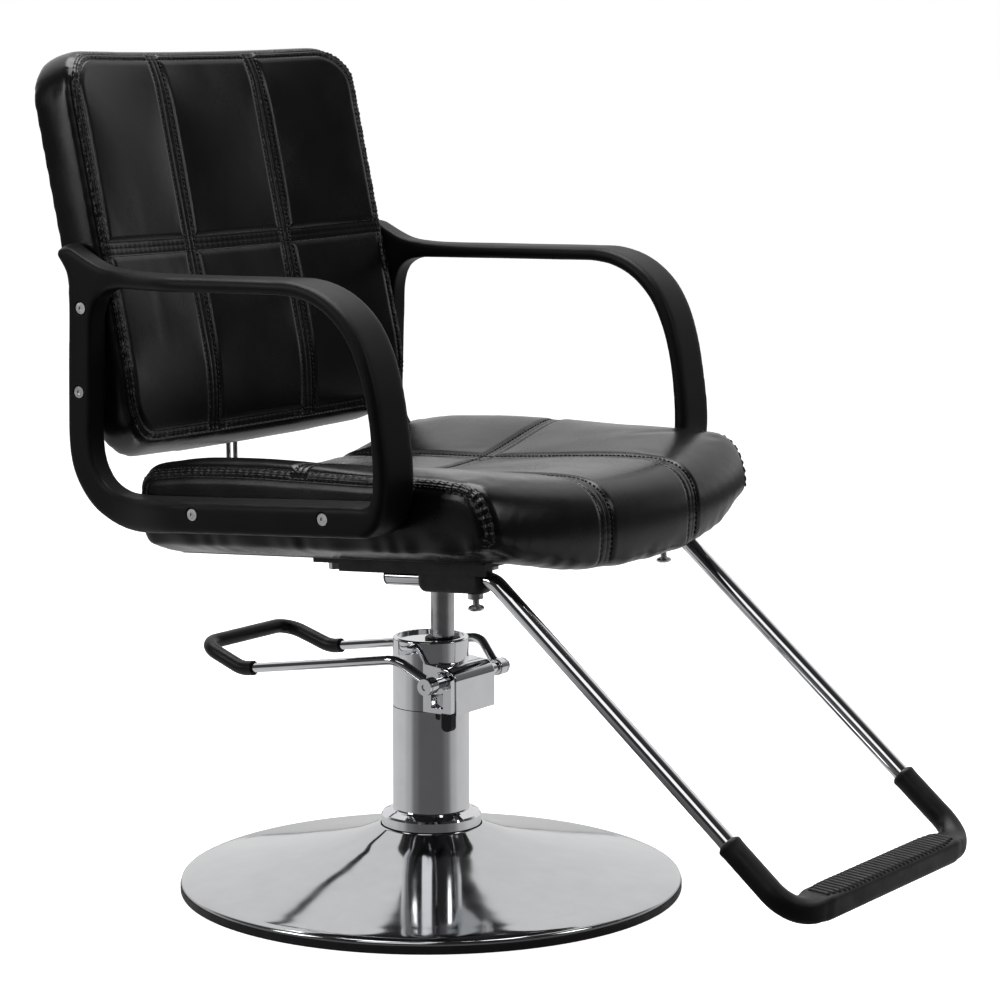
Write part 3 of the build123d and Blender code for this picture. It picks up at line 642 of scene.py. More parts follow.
def seat_top(u, v):
    base = interp(v, [-205, -150, -108, -60, -7, 40, 82, 140, 186, 200], [68.5, 68.5, 67.5, 65.5, 63.8, 64.4, 65.0, 64.6, 64.0, 63.0])
    amp = interp(v, [-205, -181, -156, -81, -10, 50, 130, 170, 194], [0.36, 0.48, 0.60, 0.78, 1.03, 1.10, 1.10, 1.0, 0.86])
    r = interp(abs(u), RISE_U, RISE_W)
    return base + r * amp


def seat_loop(u, inset):
    a = min(abs(u) / 225.0, 1.02)
    vf = -248.0 + 30.0 * a ** 2.2
    vs = -190.0 + 15.0 * a ** 2
    wmid = 22.0
    wb = min(-19.0 + 26.0 * (abs(u) / 194.0) ** 2.6, 17.0)
    side_w = 0.9 + 15.6 * max(0.0, (abs(u) - 182.0) / 46.0) ** 1.35
    pts = []
    rear_top = seat_top(u, 176.0) - inset * 0.9
    # underside from the rear to the front
    for v in np.linspace(182, -176, 26):
        pts.append((v, side_w))
    for k in np.linspace(0, 1, 7)[1:]:
        pts.append((-176 + (vf + 26 + 176) * k, side_w + (wb - side_w) * (k * k * (3 - 2 * k))))
    # lip and front face
    for k in np.linspace(0, 1, 6)[1:]:
        an = math.pi / 2 * k
        pts.append((vf + 26 - 22 * math.sin(an), wb + 9 * (1 - math.cos(an))))
    w1 = wb + 9
    for k in np.linspace(0, 1, 6)[1:]:
        pts.append((vf + 4 * (1 - k) ** 2, w1 + (wmid - w1) * k))
    ws = seat_top(u, vs)
    for k in np.linspace(0, 1, 15)[1:]:
        s = math.sin(math.pi / 2 * (1 - k))
        c = (1 - s ** 2.5) ** 0.4
        pts.append((vs + (vf - vs) * s, wmid + (ws - wmid) * c - inset * c))
    for v in np.linspace(vs, 174, 44)[1:]:
        pts.append((v, seat_top(u, v) - inset))
    rr = 19.0
    for k in np.linspace(0, 1, 8)[1:]:
        an = math.pi / 2 * k
        pts.append((174 + rr * math.sin(an), seat_top(u, 174) - inset - rr * (1 - math.cos(an))))
    wt = seat_top(u, 174) - inset - rr
    for k in np.linspace(0, 1, 7)[1:]:
        pts.append((193 + 1.5 * math.sin(math.pi * k) - 3 * k ** 3, wt + (side_w + 8 - wt) * k))
    pts.append((186, side_w + 2))
    return pts


def shift_in(pts, dv):
    """Draws the loop in at its front and rear, for the outermost stations."""
    out = []
    for (v, w) in pts:
        f = max(0.0, (-150 - v) / 60.0) if v < -150 else 0.0
        g = max(0.0, (v - 150) / 40.0) if v > 150 else 0.0
        out.append((v + dv * min(f, 1) - dv * min(g, 1), w))
    return out


def build_seat():
    st = []
    for u in (228.0, 227.6, 226.6, 225.2, 222.5, 218, 212, 205, 196, 184, 168, 148, 126, 104, 84, 62, 40, 20):
        st.append(u)
    st = [-x for x in st] + [0.0] + st[::-1]
    loops = []
    for u in st:
        a = abs(u)
        inset = 0.0 if a <= 225.2 else interp(a, [225.2, 226.6, 227.6, 228.0], [0, 2.0, 7.0, 16.0])
        dv = 0.0 if a <= 222.5 else interp(a, [222.5, 225.2, 226.6, 227.6, 228.0], [0, 1.0, 3.0, 8.0, 17.0])
        loops.append([seat_pt(u, v, w) for (v, w) in shift_in(seat_loop(u, inset), dv)])
    ob = loft("seat_cushion_leather", loops)
    remesh(ob, 0.0044)

    def top_line(u_of, vs):
        return [seat_pt(u_of(v), v, seat_top(u_of(v), v)) for v in vs]

    def over_front(u):
        lp = seat_loop(u, 0.0)
        front = [p for p in lp if p[0] < -150]
        front = front[3:]
        return front

    seams = []
    for sx in (-1, 1):
        u = 76.0 * sx
        pts = [seat_pt(u, v, w) for (v, w) in seat_loop(u, 0.0)[34:]]
        pts = [p for p in pts]
        seams.append(Seam(pts[2:-3], 7.4, "flat", depth=1.5, pucker=0.14))
    cross = [seat_pt(u, -1.5, seat_top(u, -1.5)) for u in np.linspace(-224, 224, 90)]
    seams.append(Seam(cross, 6.2, "flat", depth=1.4, pucker=0.14))
    for sx in (-1, 1):
        lp = shift_in(seat_loop(225.0, 0.6), 1.0)
        pts = [seat_pt(225.4 * sx, v, w) for (v, w) in lp[36:-4]]

        def gather(ss, total=[None]):
            return 0.0
        sm = Seam(pts, 5.2, "border", depth=1.1, pucker=0.20)
        z = sm.p[:, 2]
        # gathers where the seam turns down the front corner
        v_of = (sm.p[:, 1] / MM + 14.5)
        near = np.clip(1 - np.abs(v_of + 198) / 62.0, 0, 1) ** 0.7
        arr = near * 1.15
        sm.gather = (lambda ss, arr=arr, L=sm.s[-1] / MM: float(arr[min(int(ss / L * (len(arr) - 1)), len(arr) - 1)]))
        seams.append(sm)
    kd = seam_tree(seams)[0]
    co = coords(ob)
    u, v, w = seat_inv(co)
    pin = np.zeros(len(co))
    for i in range(len(co)):
        d = kd.find(Vector(co[i]))[2] / MM
        pin[i] = max(0.0, 1 - max(d - 3.0, 0) / 5.0)
    low = (w < 12 + 14 * np.clip((np.abs(u) - 176) / 50, 0, 1)) & (v > -205)
    pin[low] = 1.0
    lip = (w < wlip(u) + 6)
    pin[lip] = 1.0
    cap = np.full(len(co), 6.5)
    cap[np.abs(u) > 221] = 2.4
    puff(ob, pin, 4.0, cap)
    relax(ob, 3, 0.5)
    subdivide(ob, 1)
    # nothing pushes past the arms
    co = coords(ob)
    lim = 229.6 * MM
    co[:, 0] = np.clip(co[:, 0], -lim, lim)
    set_coords(ob, co)
    bvh = bvh_of(ob)
    for s in seams:
        s.snap(bvh)
    refine(ob, seams, 0.017)
    sew(ob, seams)
    staple(ob)
    return ob, seams


def wlip(u):
    return np.minimum(-19.0 + 26.0 * (np.abs(u) / 194.0) ** 2.6, 17.0)


def staple(ob):
    """The cover is pulled round the lower edge and stapled below: short tucks along that edge."""
    co, no = coords(ob), normals(ob)
    u, v, w = seat_inv(co)
    k = np.clip(1 - np.abs(w - 21) / 15.0, 0, 1) * (np.abs(u) > 205) * (v > -200)
    s = np.sin(v / 9.0 + 1.4 * np.sin(v / 31.0)) * 0.8 + 0.5 * np.sin(v / 4.4 + 2 * np.sin(v / 17.0))
    kf = np.clip(1 - np.abs(w - wlip(u) - 6) / 12.0, 0, 1) * (v < -190)
    sf = np.sin(u / 10.0 + 1.3 * np.sin(u / 37.0)) * 0.8 + 0.4 * np.sin(u / 4.7 + 2 * np.sin(u / 21.0))
    d = (k * s * 0.9 + kf * sf * 0.9) * MM
    set_coords(ob, co + no * d[:, None])


# ---------------------------------------------------------------------- back cushion
BH0, BH1 = -208.0, 191.5


def REAR_T(u):
    return 47.5 - 14.0 * (np.abs(u) / 225.0) ** 2


def corner(u, rad=48.0, half=227.0):
    a = abs(u) - (half - rad)
    if a <= 0:
        return 0.0
    a = min(a, rad * 0.9999)
    return rad - math.sqrt(rad * rad - a * a)


def front_t(u, h):
    t = -22.0 * (u / 225.0) ** 2 - 4.0
    if h < -108:
        t += 14.5 * ((-108 - h) / 82.0) ** 2
    side = min(abs(u) / 225.0, 1.0)
    if h < -100:
        t -= 4.0 * side * ((-100 - h) / 100.0) - 4.0 * side
    elif True:
        t += 4.0 * side
    if h > 150:
        t += 9.0 * ((h - 150) / 42.0) ** 2
    return t


def back_loop(u, inset):
    """Closed section (t, h) at u: up the front, over the top, down the rear."""
    c = corner(u)
    h0 = BH0 + c + 5.0 * min(abs(u) / 200.0, 1) ** 2 * 0.6
    h1 = BH1 - c
    rear = REAR_T(u)
    lo_h, hi_h = h0 + 17, h1 - 6
    pts = []
    tb = front_t(u, max(lo_h, -190)) + inset
    for h in np.linspace(lo_h, hi_h, 60):
        pts.append((front_t(u, h) + inset, h))
    tt = pts[-1][0]
    # over the top
    for k in np.linspace(0, 1, 8)[1:]:
        an = math.pi / 2 * k
        pts.append((tt + 9 * (1 - math.cos(an)) + 2 * k, hi_h + 6 * math.sin(an)))
    t2 = pts[-1][0]
    for k in np.linspace(0, 1, 8)[1:]:
        pts.append((t2 + (rear - 2 - t2) * k, h1 + 1.6 * math.sin(math.pi * k) * 1.0 - 2.0 * k * k))
    pts.append((rear, h1 - 6))
    for h in np.linspace(h1 - 12, h0 + 12, 30):
        pts.append((rear, h))
    pts.append((rear - 1, h0 + 3))
    # bottom roll, forward and up to the front
    bt = rear - 4
    for k in np.linspace(0, 1, 12)[:-1]:
        an = math.pi / 2 * k
        pts.append((bt - (bt - tb) * math.sin(an) ** 1.15, h0 + (lo_h - h0) * (1 - math.cos(an))))
    return pts


def build_back():
    st = [226.8, 226.2, 225.0, 223.0, 220.0, 215, 209, 202, 194, 184, 170, 152, 130, 108, 88, 66, 44, 22]
    st = [-x for x in st] + [0.0] + st[::-1]
    loops = []
    for u in st:
        a = abs(u)
        ins = 0.0 if a <= 215 else interp(a, [215, 220, 223, 225, 226.2, 226.8], [0.0, 0.8, 3.0, 6.5, 12.0, 19.0])
        loops.append([back_pt(u, t, h) for (t, h) in back_loop(u, ins)])
    ob = loft("back_cushion_leather", loops)
    remesh(ob, 0.0044)
    seams = []
    for sx in (-1, 1):
        u = 76.0 * sx
        pts = [back_pt(u, front_t(u, h), h) for h in np.linspace(-188, 184, 90)]
        seams.append(Seam(pts, 7.0, "flat", depth=1.6, pucker=0.15))
    pts = [back_pt(u, front_t(u, -6.2), -6.2) for u in np.linspace(-216, 216, 100)]
    seams.append(Seam(pts, 6.0, "flat", depth=1.4, pucker=0.14))
    # border seam round the front panel
    br = []
    half, rad = 219.0, 42.0
    h_lo, h_hi = -190.0, 186.0
    for h in np.linspace(h_lo + rad, h_hi - rad, 60):
        br.append((-half, h))
    for a in np.linspace(0, math.pi / 2, 16)[1:]:
        br.append((-half + rad * (1 - math.cos(a)), h_hi - rad + rad * math.sin(a)))
    for u in np.linspace(-half + rad, half - rad, 70)[1:]:
        br.append((u, h_hi))
    for a in np.linspace(0, math.pi / 2, 16)[1:]:
        br.append((half - rad + rad * math.sin(a), h_hi - rad * (1 - math.cos(a))))
    for h in np.linspace(h_hi - rad, h_lo + rad, 60)[1:]:
        br.append((half, h))
    for a in np.linspace(0, math.pi / 2, 16)[1:]:
        br.append((half - rad * (1 - math.cos(a)), h_lo + rad - rad * math.sin(a)))
    for u in np.linspace(half - rad, -half + rad, 70)[1:]:
        br.append((u, h_lo))
    for a in np.linspace(0, math.pi / 2, 16)[1:]:
        br.append((-half + rad - rad * math.sin(a), h_lo + rad * (1 - math.cos(a))))
    bpts = [back_pt(u, front_t(u, h) + 1.0, h) for (u, h) in br]
    border = Seam(bpts, 4.9, "border", depth=1.2, pucker=0.20)
    seams.append(border)
    kd = seam_tree(seams)[0]
    co = coords(ob)
    u, t, h = back_inv(co)
    pin = np.zeros(len(co))
    for i in range(len(co)):
        d = kd.find(Vector(co[i]))[2] / MM
        pin[i] = max(0.0, 1 - max(d - 3.0, 0) / 5.0)
    rear = REAR_T(u)
    pin[t > rear - 5] = 1.0
    cap = np.full(len(co), 7.0)
    cap[np.abs(u) > 222] = 2.2
    puff(ob, pin, 4.0, cap)
    relax(ob, 3, 0.5)
    subdivide(ob, 1)
    co = coords(ob)
    lim = 229.4 * MM
    co[:, 0] = np.clip(co[:, 0], -lim, lim)
    set_coords(ob, co)
    bvh = bvh_of(ob)
    for s in seams:
        s.snap(bvh)
    refine(ob, seams, 0.017)
    sew(ob, seams)
    return ob, seams


def build_cover():
    """The panel that closes the back from behind, drawn in a little at its sewn edge."""
    st = [220.5, 219.6, 217.0, 213, 207, 199, 189, 178, 160, 140, 118, 94, 70, 46, 22]
    st = [-x for x in st] + [0.0] + st[::-1]
    loops = []
    for u in st:
        a = abs(u)
        c = corner(u, 44.0, 221.0)
        h0, h1 = BH0 + 7 + c, BH1 - 6 - c
        e = interp(a, [207, 217.0, 219.6, 220.5], [0, 0.9, 2.0, 2.9])
        rt = REAR_T(u)
        t1, t0 = rt + 3.2 - e, rt - 3.4 + e * 0.4
        lp = []
        for h in np.linspace(h0 + 3.0, h1 - 3.0, 50):
            lp.append((t1, h))
        lp += [(t1 - 0.9, h1 - 1.0), (t1 - 2.4, h1), (t0, h1)]
        for h in np.linspace(h1 - 3.0, h0 + 3.0, 50):
            lp.append((t0, h))
        lp += [(t0, h0), (t1 - 2.4, h0), (t1 - 0.9, h0 + 1.0)]
        loops.append([back_pt(u, t, h) for (t, h) in lp])
    ob = loft("back_cover_leather", loops)
    remesh(ob, 0.0036)
    rad, half, lo, hi = 36.0, 212.0, BH0 + 16.0, BH1 - 15.0
    br = []
    for cu_, cv, a0 in ((half - rad, hi - rad, 0), (-half + rad, hi - rad, 90), (-half + rad, lo + rad, 180), (half - rad, lo + rad, 270)):
        for a in np.linspace(a0, a0 + 90, 12):
            br.append((cu_ + rad * math.cos(math.radians(a)), cv + rad * math.sin(math.radians(a))))
    br.append(br[0])
    seam = Seam([back_pt(u, REAR_T(u) + 3.2, h) for (u, h) in br], 1.8, "single", depth=0.7, pucker=0.1)
    co = coords(ob)
    u, t, h = back_inv(co)
    pin = np.zeros(len(co))
    kd = seam_tree([seam])[0]
    for i in range(len(co)):
        d = kd.find(Vector(co[i]))[2] / MM
        pin[i] = max(0.0, 1 - max(d - 3.0, 0) / 5.0)
    pin[t < REAR_T(u) + 0.5] = 1.0
    puff(ob, pin, 2.0, np.full(len(co), 2.6))
    subdivide(ob, 1)
    bvh = bvh_of(ob)
    seam.snap(bvh)
    sew(ob, [seam], 0.012)
    return ob, [seam]


seat, seat_seams = build_seat()
dress(seat, "leather", "seat")
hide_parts("seat_cushion")
st1 = stitches("seat_stitching", seat, seat_seams)
dress(st1, "thread", "seat")

back, back_seams = build_back()
dress(back, "leather", "seat")
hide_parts("back_cushion", "back_shell")
st2 = stitches("back_stitching", back, back_seams)
dress(st2, "thread", "seat")

cover, cover_seams = build_cover()
dress(cover, "leather_back", "seat")
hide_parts("back_cover")
st3 = stitches("back_cover_stitching", cover, cover_seams)
dress(st3, "thread", "seat")

# ---------------------------------------------------------------------- arms
ARM_IN, ARM_OUT, POST_OUT = 231.0, 281.0, 255.0
ARM_SCREWS = [(70.1, 404.0, ARM_OUT), (-82.6, 413.0, ARM_OUT), (226.5, 586.3, POST_OUT), (230.5, 505.6, POST_OUT)]


def arm_outline():
    top = spline([(258.0, 645.0), (246.0, 646.0), (235.0, 641.0), (221.0, 634.0), (205.0, 627.5), (180.0, 623.4), (150.0, 622.4),
                  (72.0, 623.4), (-16.0, 625.4),
                  (-50.0, 625.2), (-74.0, 619.5), (-95.0, 608.5), (-114.0, 591.5), (-129.0, 567.0), (-139.5, 536.0),
                  (-146.5, 500.0), (-151.0, 466.0), (-151.6, 447.0), (-148.4, 425.5), (-141.0, 408.5), (-128.0, 398.6)], 150)
    rear = spline([(98.0, 383.6), (128.0, 380.2), (157.0, 378.4), (187.0, 382.0), (211.6, 393.1), (229.0, 410.0), (240.8, 431.2),
                   (245.5, 456.5), (245.4, 497.0), (244.1, 545.0), (242.9, 592.0), (244.0, 606.0), (248.0, 620.0), (255.0, 631.5),
                   (262.0, 639.5)], 96)
    tip = [(261.0, 643.5)]
    outer = [tuple(p) for p in top] + [tuple(p) for p in rear] + tip
    front = spline([(-132.0, 428.6), (-136.2, 440.0), (-136.4, 470.0), (-131.0, 515.0), (-121.0, 550.0), (-106.0, 578.0),
                    (-84.0, 598.5), (-58.0, 609.8), (-34.0, 612.6)], 60)
    back = spline([(178.0, 607.4), (196.0, 604.0), (208.6, 594.5), (214.4, 578.0), (216.0, 545.0), (217.6, 500.0), (218.0, 456.0),
                   (213.5, 436.0), (202.0, 420.0), (184.0, 411.4), (160.0, 409.6)], 60)
    inner = [tuple(p) for p in front] + [tuple(p) for p in back] + [(-118.0, 427.4), (-126.0, 427.2)]
    return outer, inner


def build_arm(name, sign):
    outer, inner = arm_outline()
    cu = bpy.data.curves.new(name + "_outline", "CURVE")
    cu.dimensions = "2D"
    cu.fill_mode = "BOTH"
    r = 5.2 * MM
    cu.extrude = 25.0 * MM - r
    cu.bevel_depth = r
    cu.bevel_resolution = 4
    cu.offset = -r
    for loop in (outer, inner):
        sp = cu.splines.new("POLY")
        sp.points.add(len(loop) - 1)
        for i, (y, z) in enumerate(loop):
            sp.points[i].co = (y * MM, z * MM, 0, 1)
        sp.use_cyclic_u = True
    tmp = bpy.data.objects.new(name + "_outline", cu)
    scene.collection.objects.link(tmp)
    dg = bpy.context.evaluated_depsgraph_get()
    me = bpy.data.meshes.new_from_object(tmp.evaluated_get(dg))
    bpy.data.objects.remove(tmp)
    ob = bpy.data.objects.new(name, me)
    scene.collection.objects.link(ob)
    co = coords(ob)
    # outline (y, z) lies in the curve's x and y; its thickness becomes x
    new = np.stack([co[:, 2] - 256.0 * MM, co[:, 0], co[:, 1]], axis=1)
    set_coords(ob, new)
    bm = bmesh.new()
    bm.from_mesh(ob.data)
    bmesh.ops.remove_doubles(bm, verts=bm.verts, dist=2e-6)
    bmesh.ops.recalc_face_normals(bm, faces=bm.faces)
    bm.to_mesh(ob.data)
    bm.free()
    remesh(ob, 0.0023)
    co = coords(ob)
    x, y, z = (co[:, k] / MM for k in range(3))

    def sstep(v, a, b):
        q = np.clip((v - a) / (b - a), 0, 1)
        return q * q * (3 - 2 * q)
    # the arm narrows towards the rear, from its outer side, and its post lies flat on the side of the back
    wide = 50.0 - 26.0 * sstep(y, 92.0, 204.0)
    s_in = np.clip((x + ARM_OUT) / 50.0, 0, 1)
    x = -ARM_IN - (1 - s_in) * wide
    # the wing at the rear is rounded off at its outer edge
    k = np.clip((y - 212.0) / 40.0, 0, 1.1) * sstep(z, 600, 616)
    out = (1 - s_in) ** 1.6
    y = y - 5.0 * k * out
    z = z - 4.0 * k * out + 1.0 * k * s_in
    # the pad is a little crowned across its width
    c = 1 - (2 * s_in - 1) ** 2
    top = sstep(z, 606, 622) * sstep(y, -64, -44) * (1 - sstep(y, 176, 200))
    z = z + 1.1 * c * top
    # a moulding line round the front post, where the pad ends
    line = np.exp(-((z - 465.0 - 0.05 * (y + 140)) / 1.1) ** 2) * (y < -120)
    cx, cy = x + 256.0, y + 143.5
    ln = np.sqrt(cx ** 2 + cy ** 2) + 1e-6
    x = x - 0.5 * line * cx / ln
    y = y - 0.5 * line * cy / ln
    set_coords(ob, np.stack([x, y, z], axis=1) * MM)
    relax(ob, 5, 0.5)
    # screw recesses
    bm = bmesh.new()
    bm.from_mesh(ob.data)
    for _ in range(2):
        near = set()
        for v in bm.verts:
            for (sy, sz, px) in ARM_SCREWS:
                if v.co.x < (7.0 - px) * MM and (v.co.y / MM - sy) ** 2 + (v.co.z / MM - sz) ** 2 < 100.0:
                    near.add(v)
        es = [e for e in bm.edges if e.verts[0] in near and e.verts[1] in near]
        bmesh.ops.subdivide_edges(bm, edges=es, cuts=1, use_grid_fill=True)
    for v in bm.verts:
        for (sy, sz, px) in ARM_SCREWS:
            d = math.hypot(v.co.y / MM - sy, v.co.z / MM - sz)
            if d < 9.0 and v.co.x < (7.0 - px) * MM:
                q = min(max((6.9 - d) / 0.9, 0.0), 1.0)
                q = q * q * (3 - 2 * q)
                flat = min(max((9.0 - d) / 1.5, 0.0), 1.0)
                v.co.x += (-px * MM - v.co.x) * flat + 2.7 * MM * q
    bm.to_mesh(ob.data)
    bm.free()
    if sign > 0:
        co = coords(ob)
        co[:, 0] *= -1
        set_coords(ob, co)
        ob.data.flip_normals()
    ob.data.polygons.foreach_set("use_smooth", [True] * len(ob.data.polygons))
    ob.data.update()
    return ob


for nm, sg in (("right", -1), ("left", 1)):
    a_ = build_arm("armrest_%s_pad" % nm, sg)
    dress(a_, "arm", "seat")
    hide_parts("armrest_" + nm)

# ---------------------------------------------------------------------- footrest rubber
STEP_C = (-507.0, 84.8)
STEP_TILT = math.radians(4.0)
TUBE_X = 163.4
LEG = math.atan2(141.0 - 84.8, 507.0 - 440.0)


def d_section(hw, up, low, r_up, r_low, n=96):
    """Rounded outline of the step, (out, up), by even angle about its centre."""
    pts = []
    for (cx, cy, r, a0) in ((hw - r_up, up - r_up, r_up, 0), (-hw + r_up, up - r_up, r_up, 90),
                            (-hw + r_low, -low + r_low, r_low, 180), (hw - r_low, -low + r_low, r_low, 270)):
        for a in np.linspace(a0, a0 + 90, 14):
            pts.append((cx + r * math.cos(math.radians(a)), cy + r * math.sin(math.radians(a))))
    p = np.array(pts)
    ang = np.unwrap(np.arctan2(p[:, 1], p[:, 0]))
    th = np.linspace(0, 2 * math.pi, n, endpoint=False) + ang[0]
    th = np.where(th < ang[0], th + 2 * math.pi, th)
    ap = np.r_[ang, ang[0] + 2 * math.pi]
    return np.stack([np.interp(th, ap, np.r_[p[:, 0], p[0, 0]]), np.interp(th, ap, np.r_[p[:, 1], p[0, 1]])], axis=1), th


def build_rubber():
    corner_y, corner_z = STEP_C
    leg = np.array([0.0, -math.cos(LEG), -math.sin(LEG)])
    corner = np.array([-TUBE_X, corner_y, corner_z])
    rad = 30.0
    start = corner - leg * 87.0
    path, blend = [], []
    for k in np.linspace(0, 1, 30, endpoint=False):
        path.append(start + leg * (87.0 - rad) * k)
        blend.append(0.0)
    cen = corner - leg * rad + np.array([rad, 0, 0])
    for a in np.linspace(0, math.pi / 2, 34):
        path.append(cen + np.array([-rad * math.cos(a), 0, 0]) + leg * rad * math.sin(a))
        blend.append(0.62 * (a / (math.pi / 2)) ** 1.2)
    x0 = path[-1][0]
    for x in np.linspace(x0, 0, 60)[1:]:
        path.append(np.array([x, corner_y, corner_z]))
        q = min((x - x0) / 20.0, 1.0)
        blend.append(0.62 + 0.38 * q * q * (3 - 2 * q))
    path = path + [np.array([-q[0], q[1], q[2]]) for q in path[:-1]][::-1]
    blend = blend + blend[:-1][::-1]
    path = np.array(path)
    T = np.gradient(path, axis=0)
    T /= np.linalg.norm(T, axis=1)[:, None]
    sec, th = d_section(17.3, 12.4, 11.8, 4.6, 9.0)
    cir = np.stack([11.4 * np.cos(th), 11.4 * np.sin(th)], axis=1)
    up0 = np.array([0.0, -math.sin(STEP_TILT), math.cos(STEP_TILT)])
    loops = []
    n = len(path)
    for i in range(n):
        U = up0 - T[i] * float(np.dot(up0, T[i]))
        U /= np.linalg.norm(U)
        O = np.cross(T[i], U)
        b = blend[i]
        b = b * b * (3 - 2 * b)
        end = min(i, n - 1 - i)
        grow = 1.0 - 0.16 * max(0.0, 1.0 - end / 1.0) + 0.035 * math.exp(-((end - 2.0) / 1.2) ** 2)
        pt = (cir * (1 - b) + sec * b) * grow
        loops.append([tuple((path[i] + O * o + U * w) * MM) for (o, w) in pt])
    ob = loft("footrest_rubber_sleeve", loops)
    return ob


def build_tread():
    """Short ribs across the step, on its top face."""
    verts, faces = [], []
    cy, cz = STEP_C
    rise, half = 2.6, 15.4
    n = 33
    for i in range(n):
        x0 = (i - (n - 1) / 2) * 7.4
        lim = half - 6.0 * max(0.0, (abs(x0) - 88.0) / 34.0) ** 1.6
        prof = [(f * 2.5, rise * math.cos(f * math.pi / 2) ** 0.7 - 0.5) for f in np.linspace(-1, 1, 9)]
        rows = []
        for g in np.linspace(-1, 1, 9):
            row = []
            yy = g * lim
            over = max(abs(yy) - 12.7, 0.0)
            drop = 4.6 - math.sqrt(max(4.6 ** 2 - over * over, 0.0))
            fade = 1.0 - max(abs(g) - 0.8, 0) * 2.4
            for (dx, dz) in prof:
                zz = 12.4 - drop + dz * fade
                row.append((x0 + dx, cy + yy * math.cos(STEP_TILT) - zz * math.sin(STEP_TILT),
                            cz + yy * math.sin(STEP_TILT) + zz * math.cos(STEP_TILT)))
            rows.append(row)
        base = len(verts)
        for row in rows:
            verts += [(a * MM, b * MM, c * MM) for (a, b, c) in row]
        m = len(prof)
        for a in range(len(rows) - 1):
            for b in range(m - 1):
                faces.append((base + a * m + b, base + a * m + b + 1, base + (a + 1) * m + b + 1, base + (a + 1) * m + b))
        low = len(verts)
        for row in rows:
            for (a, b, c) in (row[0], row[-1]):
                verts.append((a * MM, b * MM, (c - 0.9) * MM))
        for a in range(len(rows) - 1):
            l0, l1 = low + a * 2, low + (a + 1) * 2
            faces.append((l0, l0 + 1, l1 + 1, l1))
            faces.append((base + a * m, base + (a + 1) * m, l1, l0))
            faces.append((base + a * m + m - 1, l0 + 1, l1 + 1, base + (a + 1) * m + m - 1))
        for a, bb in ((0, low), (len(rows) - 1, low + (len(rows) - 1) * 2)):
            faces.append(tuple([base + a * m + b for b in range(m)] + [bb + 1, bb]))
    ob = new_mesh("footrest_tread", verts, faces)
    fix_normals(ob)
    return ob


rubber = build_rubber()
dress(rubber, "rubber", "footrest")
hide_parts("footrest_rubber")
tread = build_tread()
dress(tread, "rubber", "footrest")

# ---------------------------------------------------------------------- floor, light and camera
BEHIND = (0.81, 0.586, 0.0)


def studio_ramp(nt, vec, lo, mid, hi):
    """Light level by direction: dim in front, brighter at the sides, brightest behind."""
    N, L = nt.nodes.new, nt.links.new
    nm = N("ShaderNodeVectorMath")
    nm.operation = "MULTIPLY"
    nm.inputs[1].default_value = (1, 1, 0)
    L(vec, nm.inputs[0])
    nn = N("ShaderNodeVectorMath")
    nn.operation = "NORMALIZE"
    L(nm.outputs[0], nn.inputs[0])
    d = N("ShaderNodeVectorMath")
    d.operation = "DOT_PRODUCT"
    L(nn.outputs[0], d.inputs[0])
    d.inputs[1].default_value = BEHIND
    mr = N("ShaderNodeMapRange")
    mr.inputs["From Min"].default_value = -1.0
    mr.inputs["From Max"].default_value = 1.0
    L(d.outputs["Value"], mr.inputs["Value"])
    r = N("ShaderNodeValToRGB")
    r.color_ramp.interpolation = "EASE"
    e = r.color_ramp.elements
    e[0].position, e[0].color = 0.06, (lo, lo, lo, 1)
    e[1].position, e[1].color = 0.82, (hi, hi, hi, 1)
    for pos, val in mid:
        q = e.new(pos)
        q.color = (val, val, val, 1)
    L(mr.outputs[0], r.inputs["Fac"])
    return r.outputs["Color"]


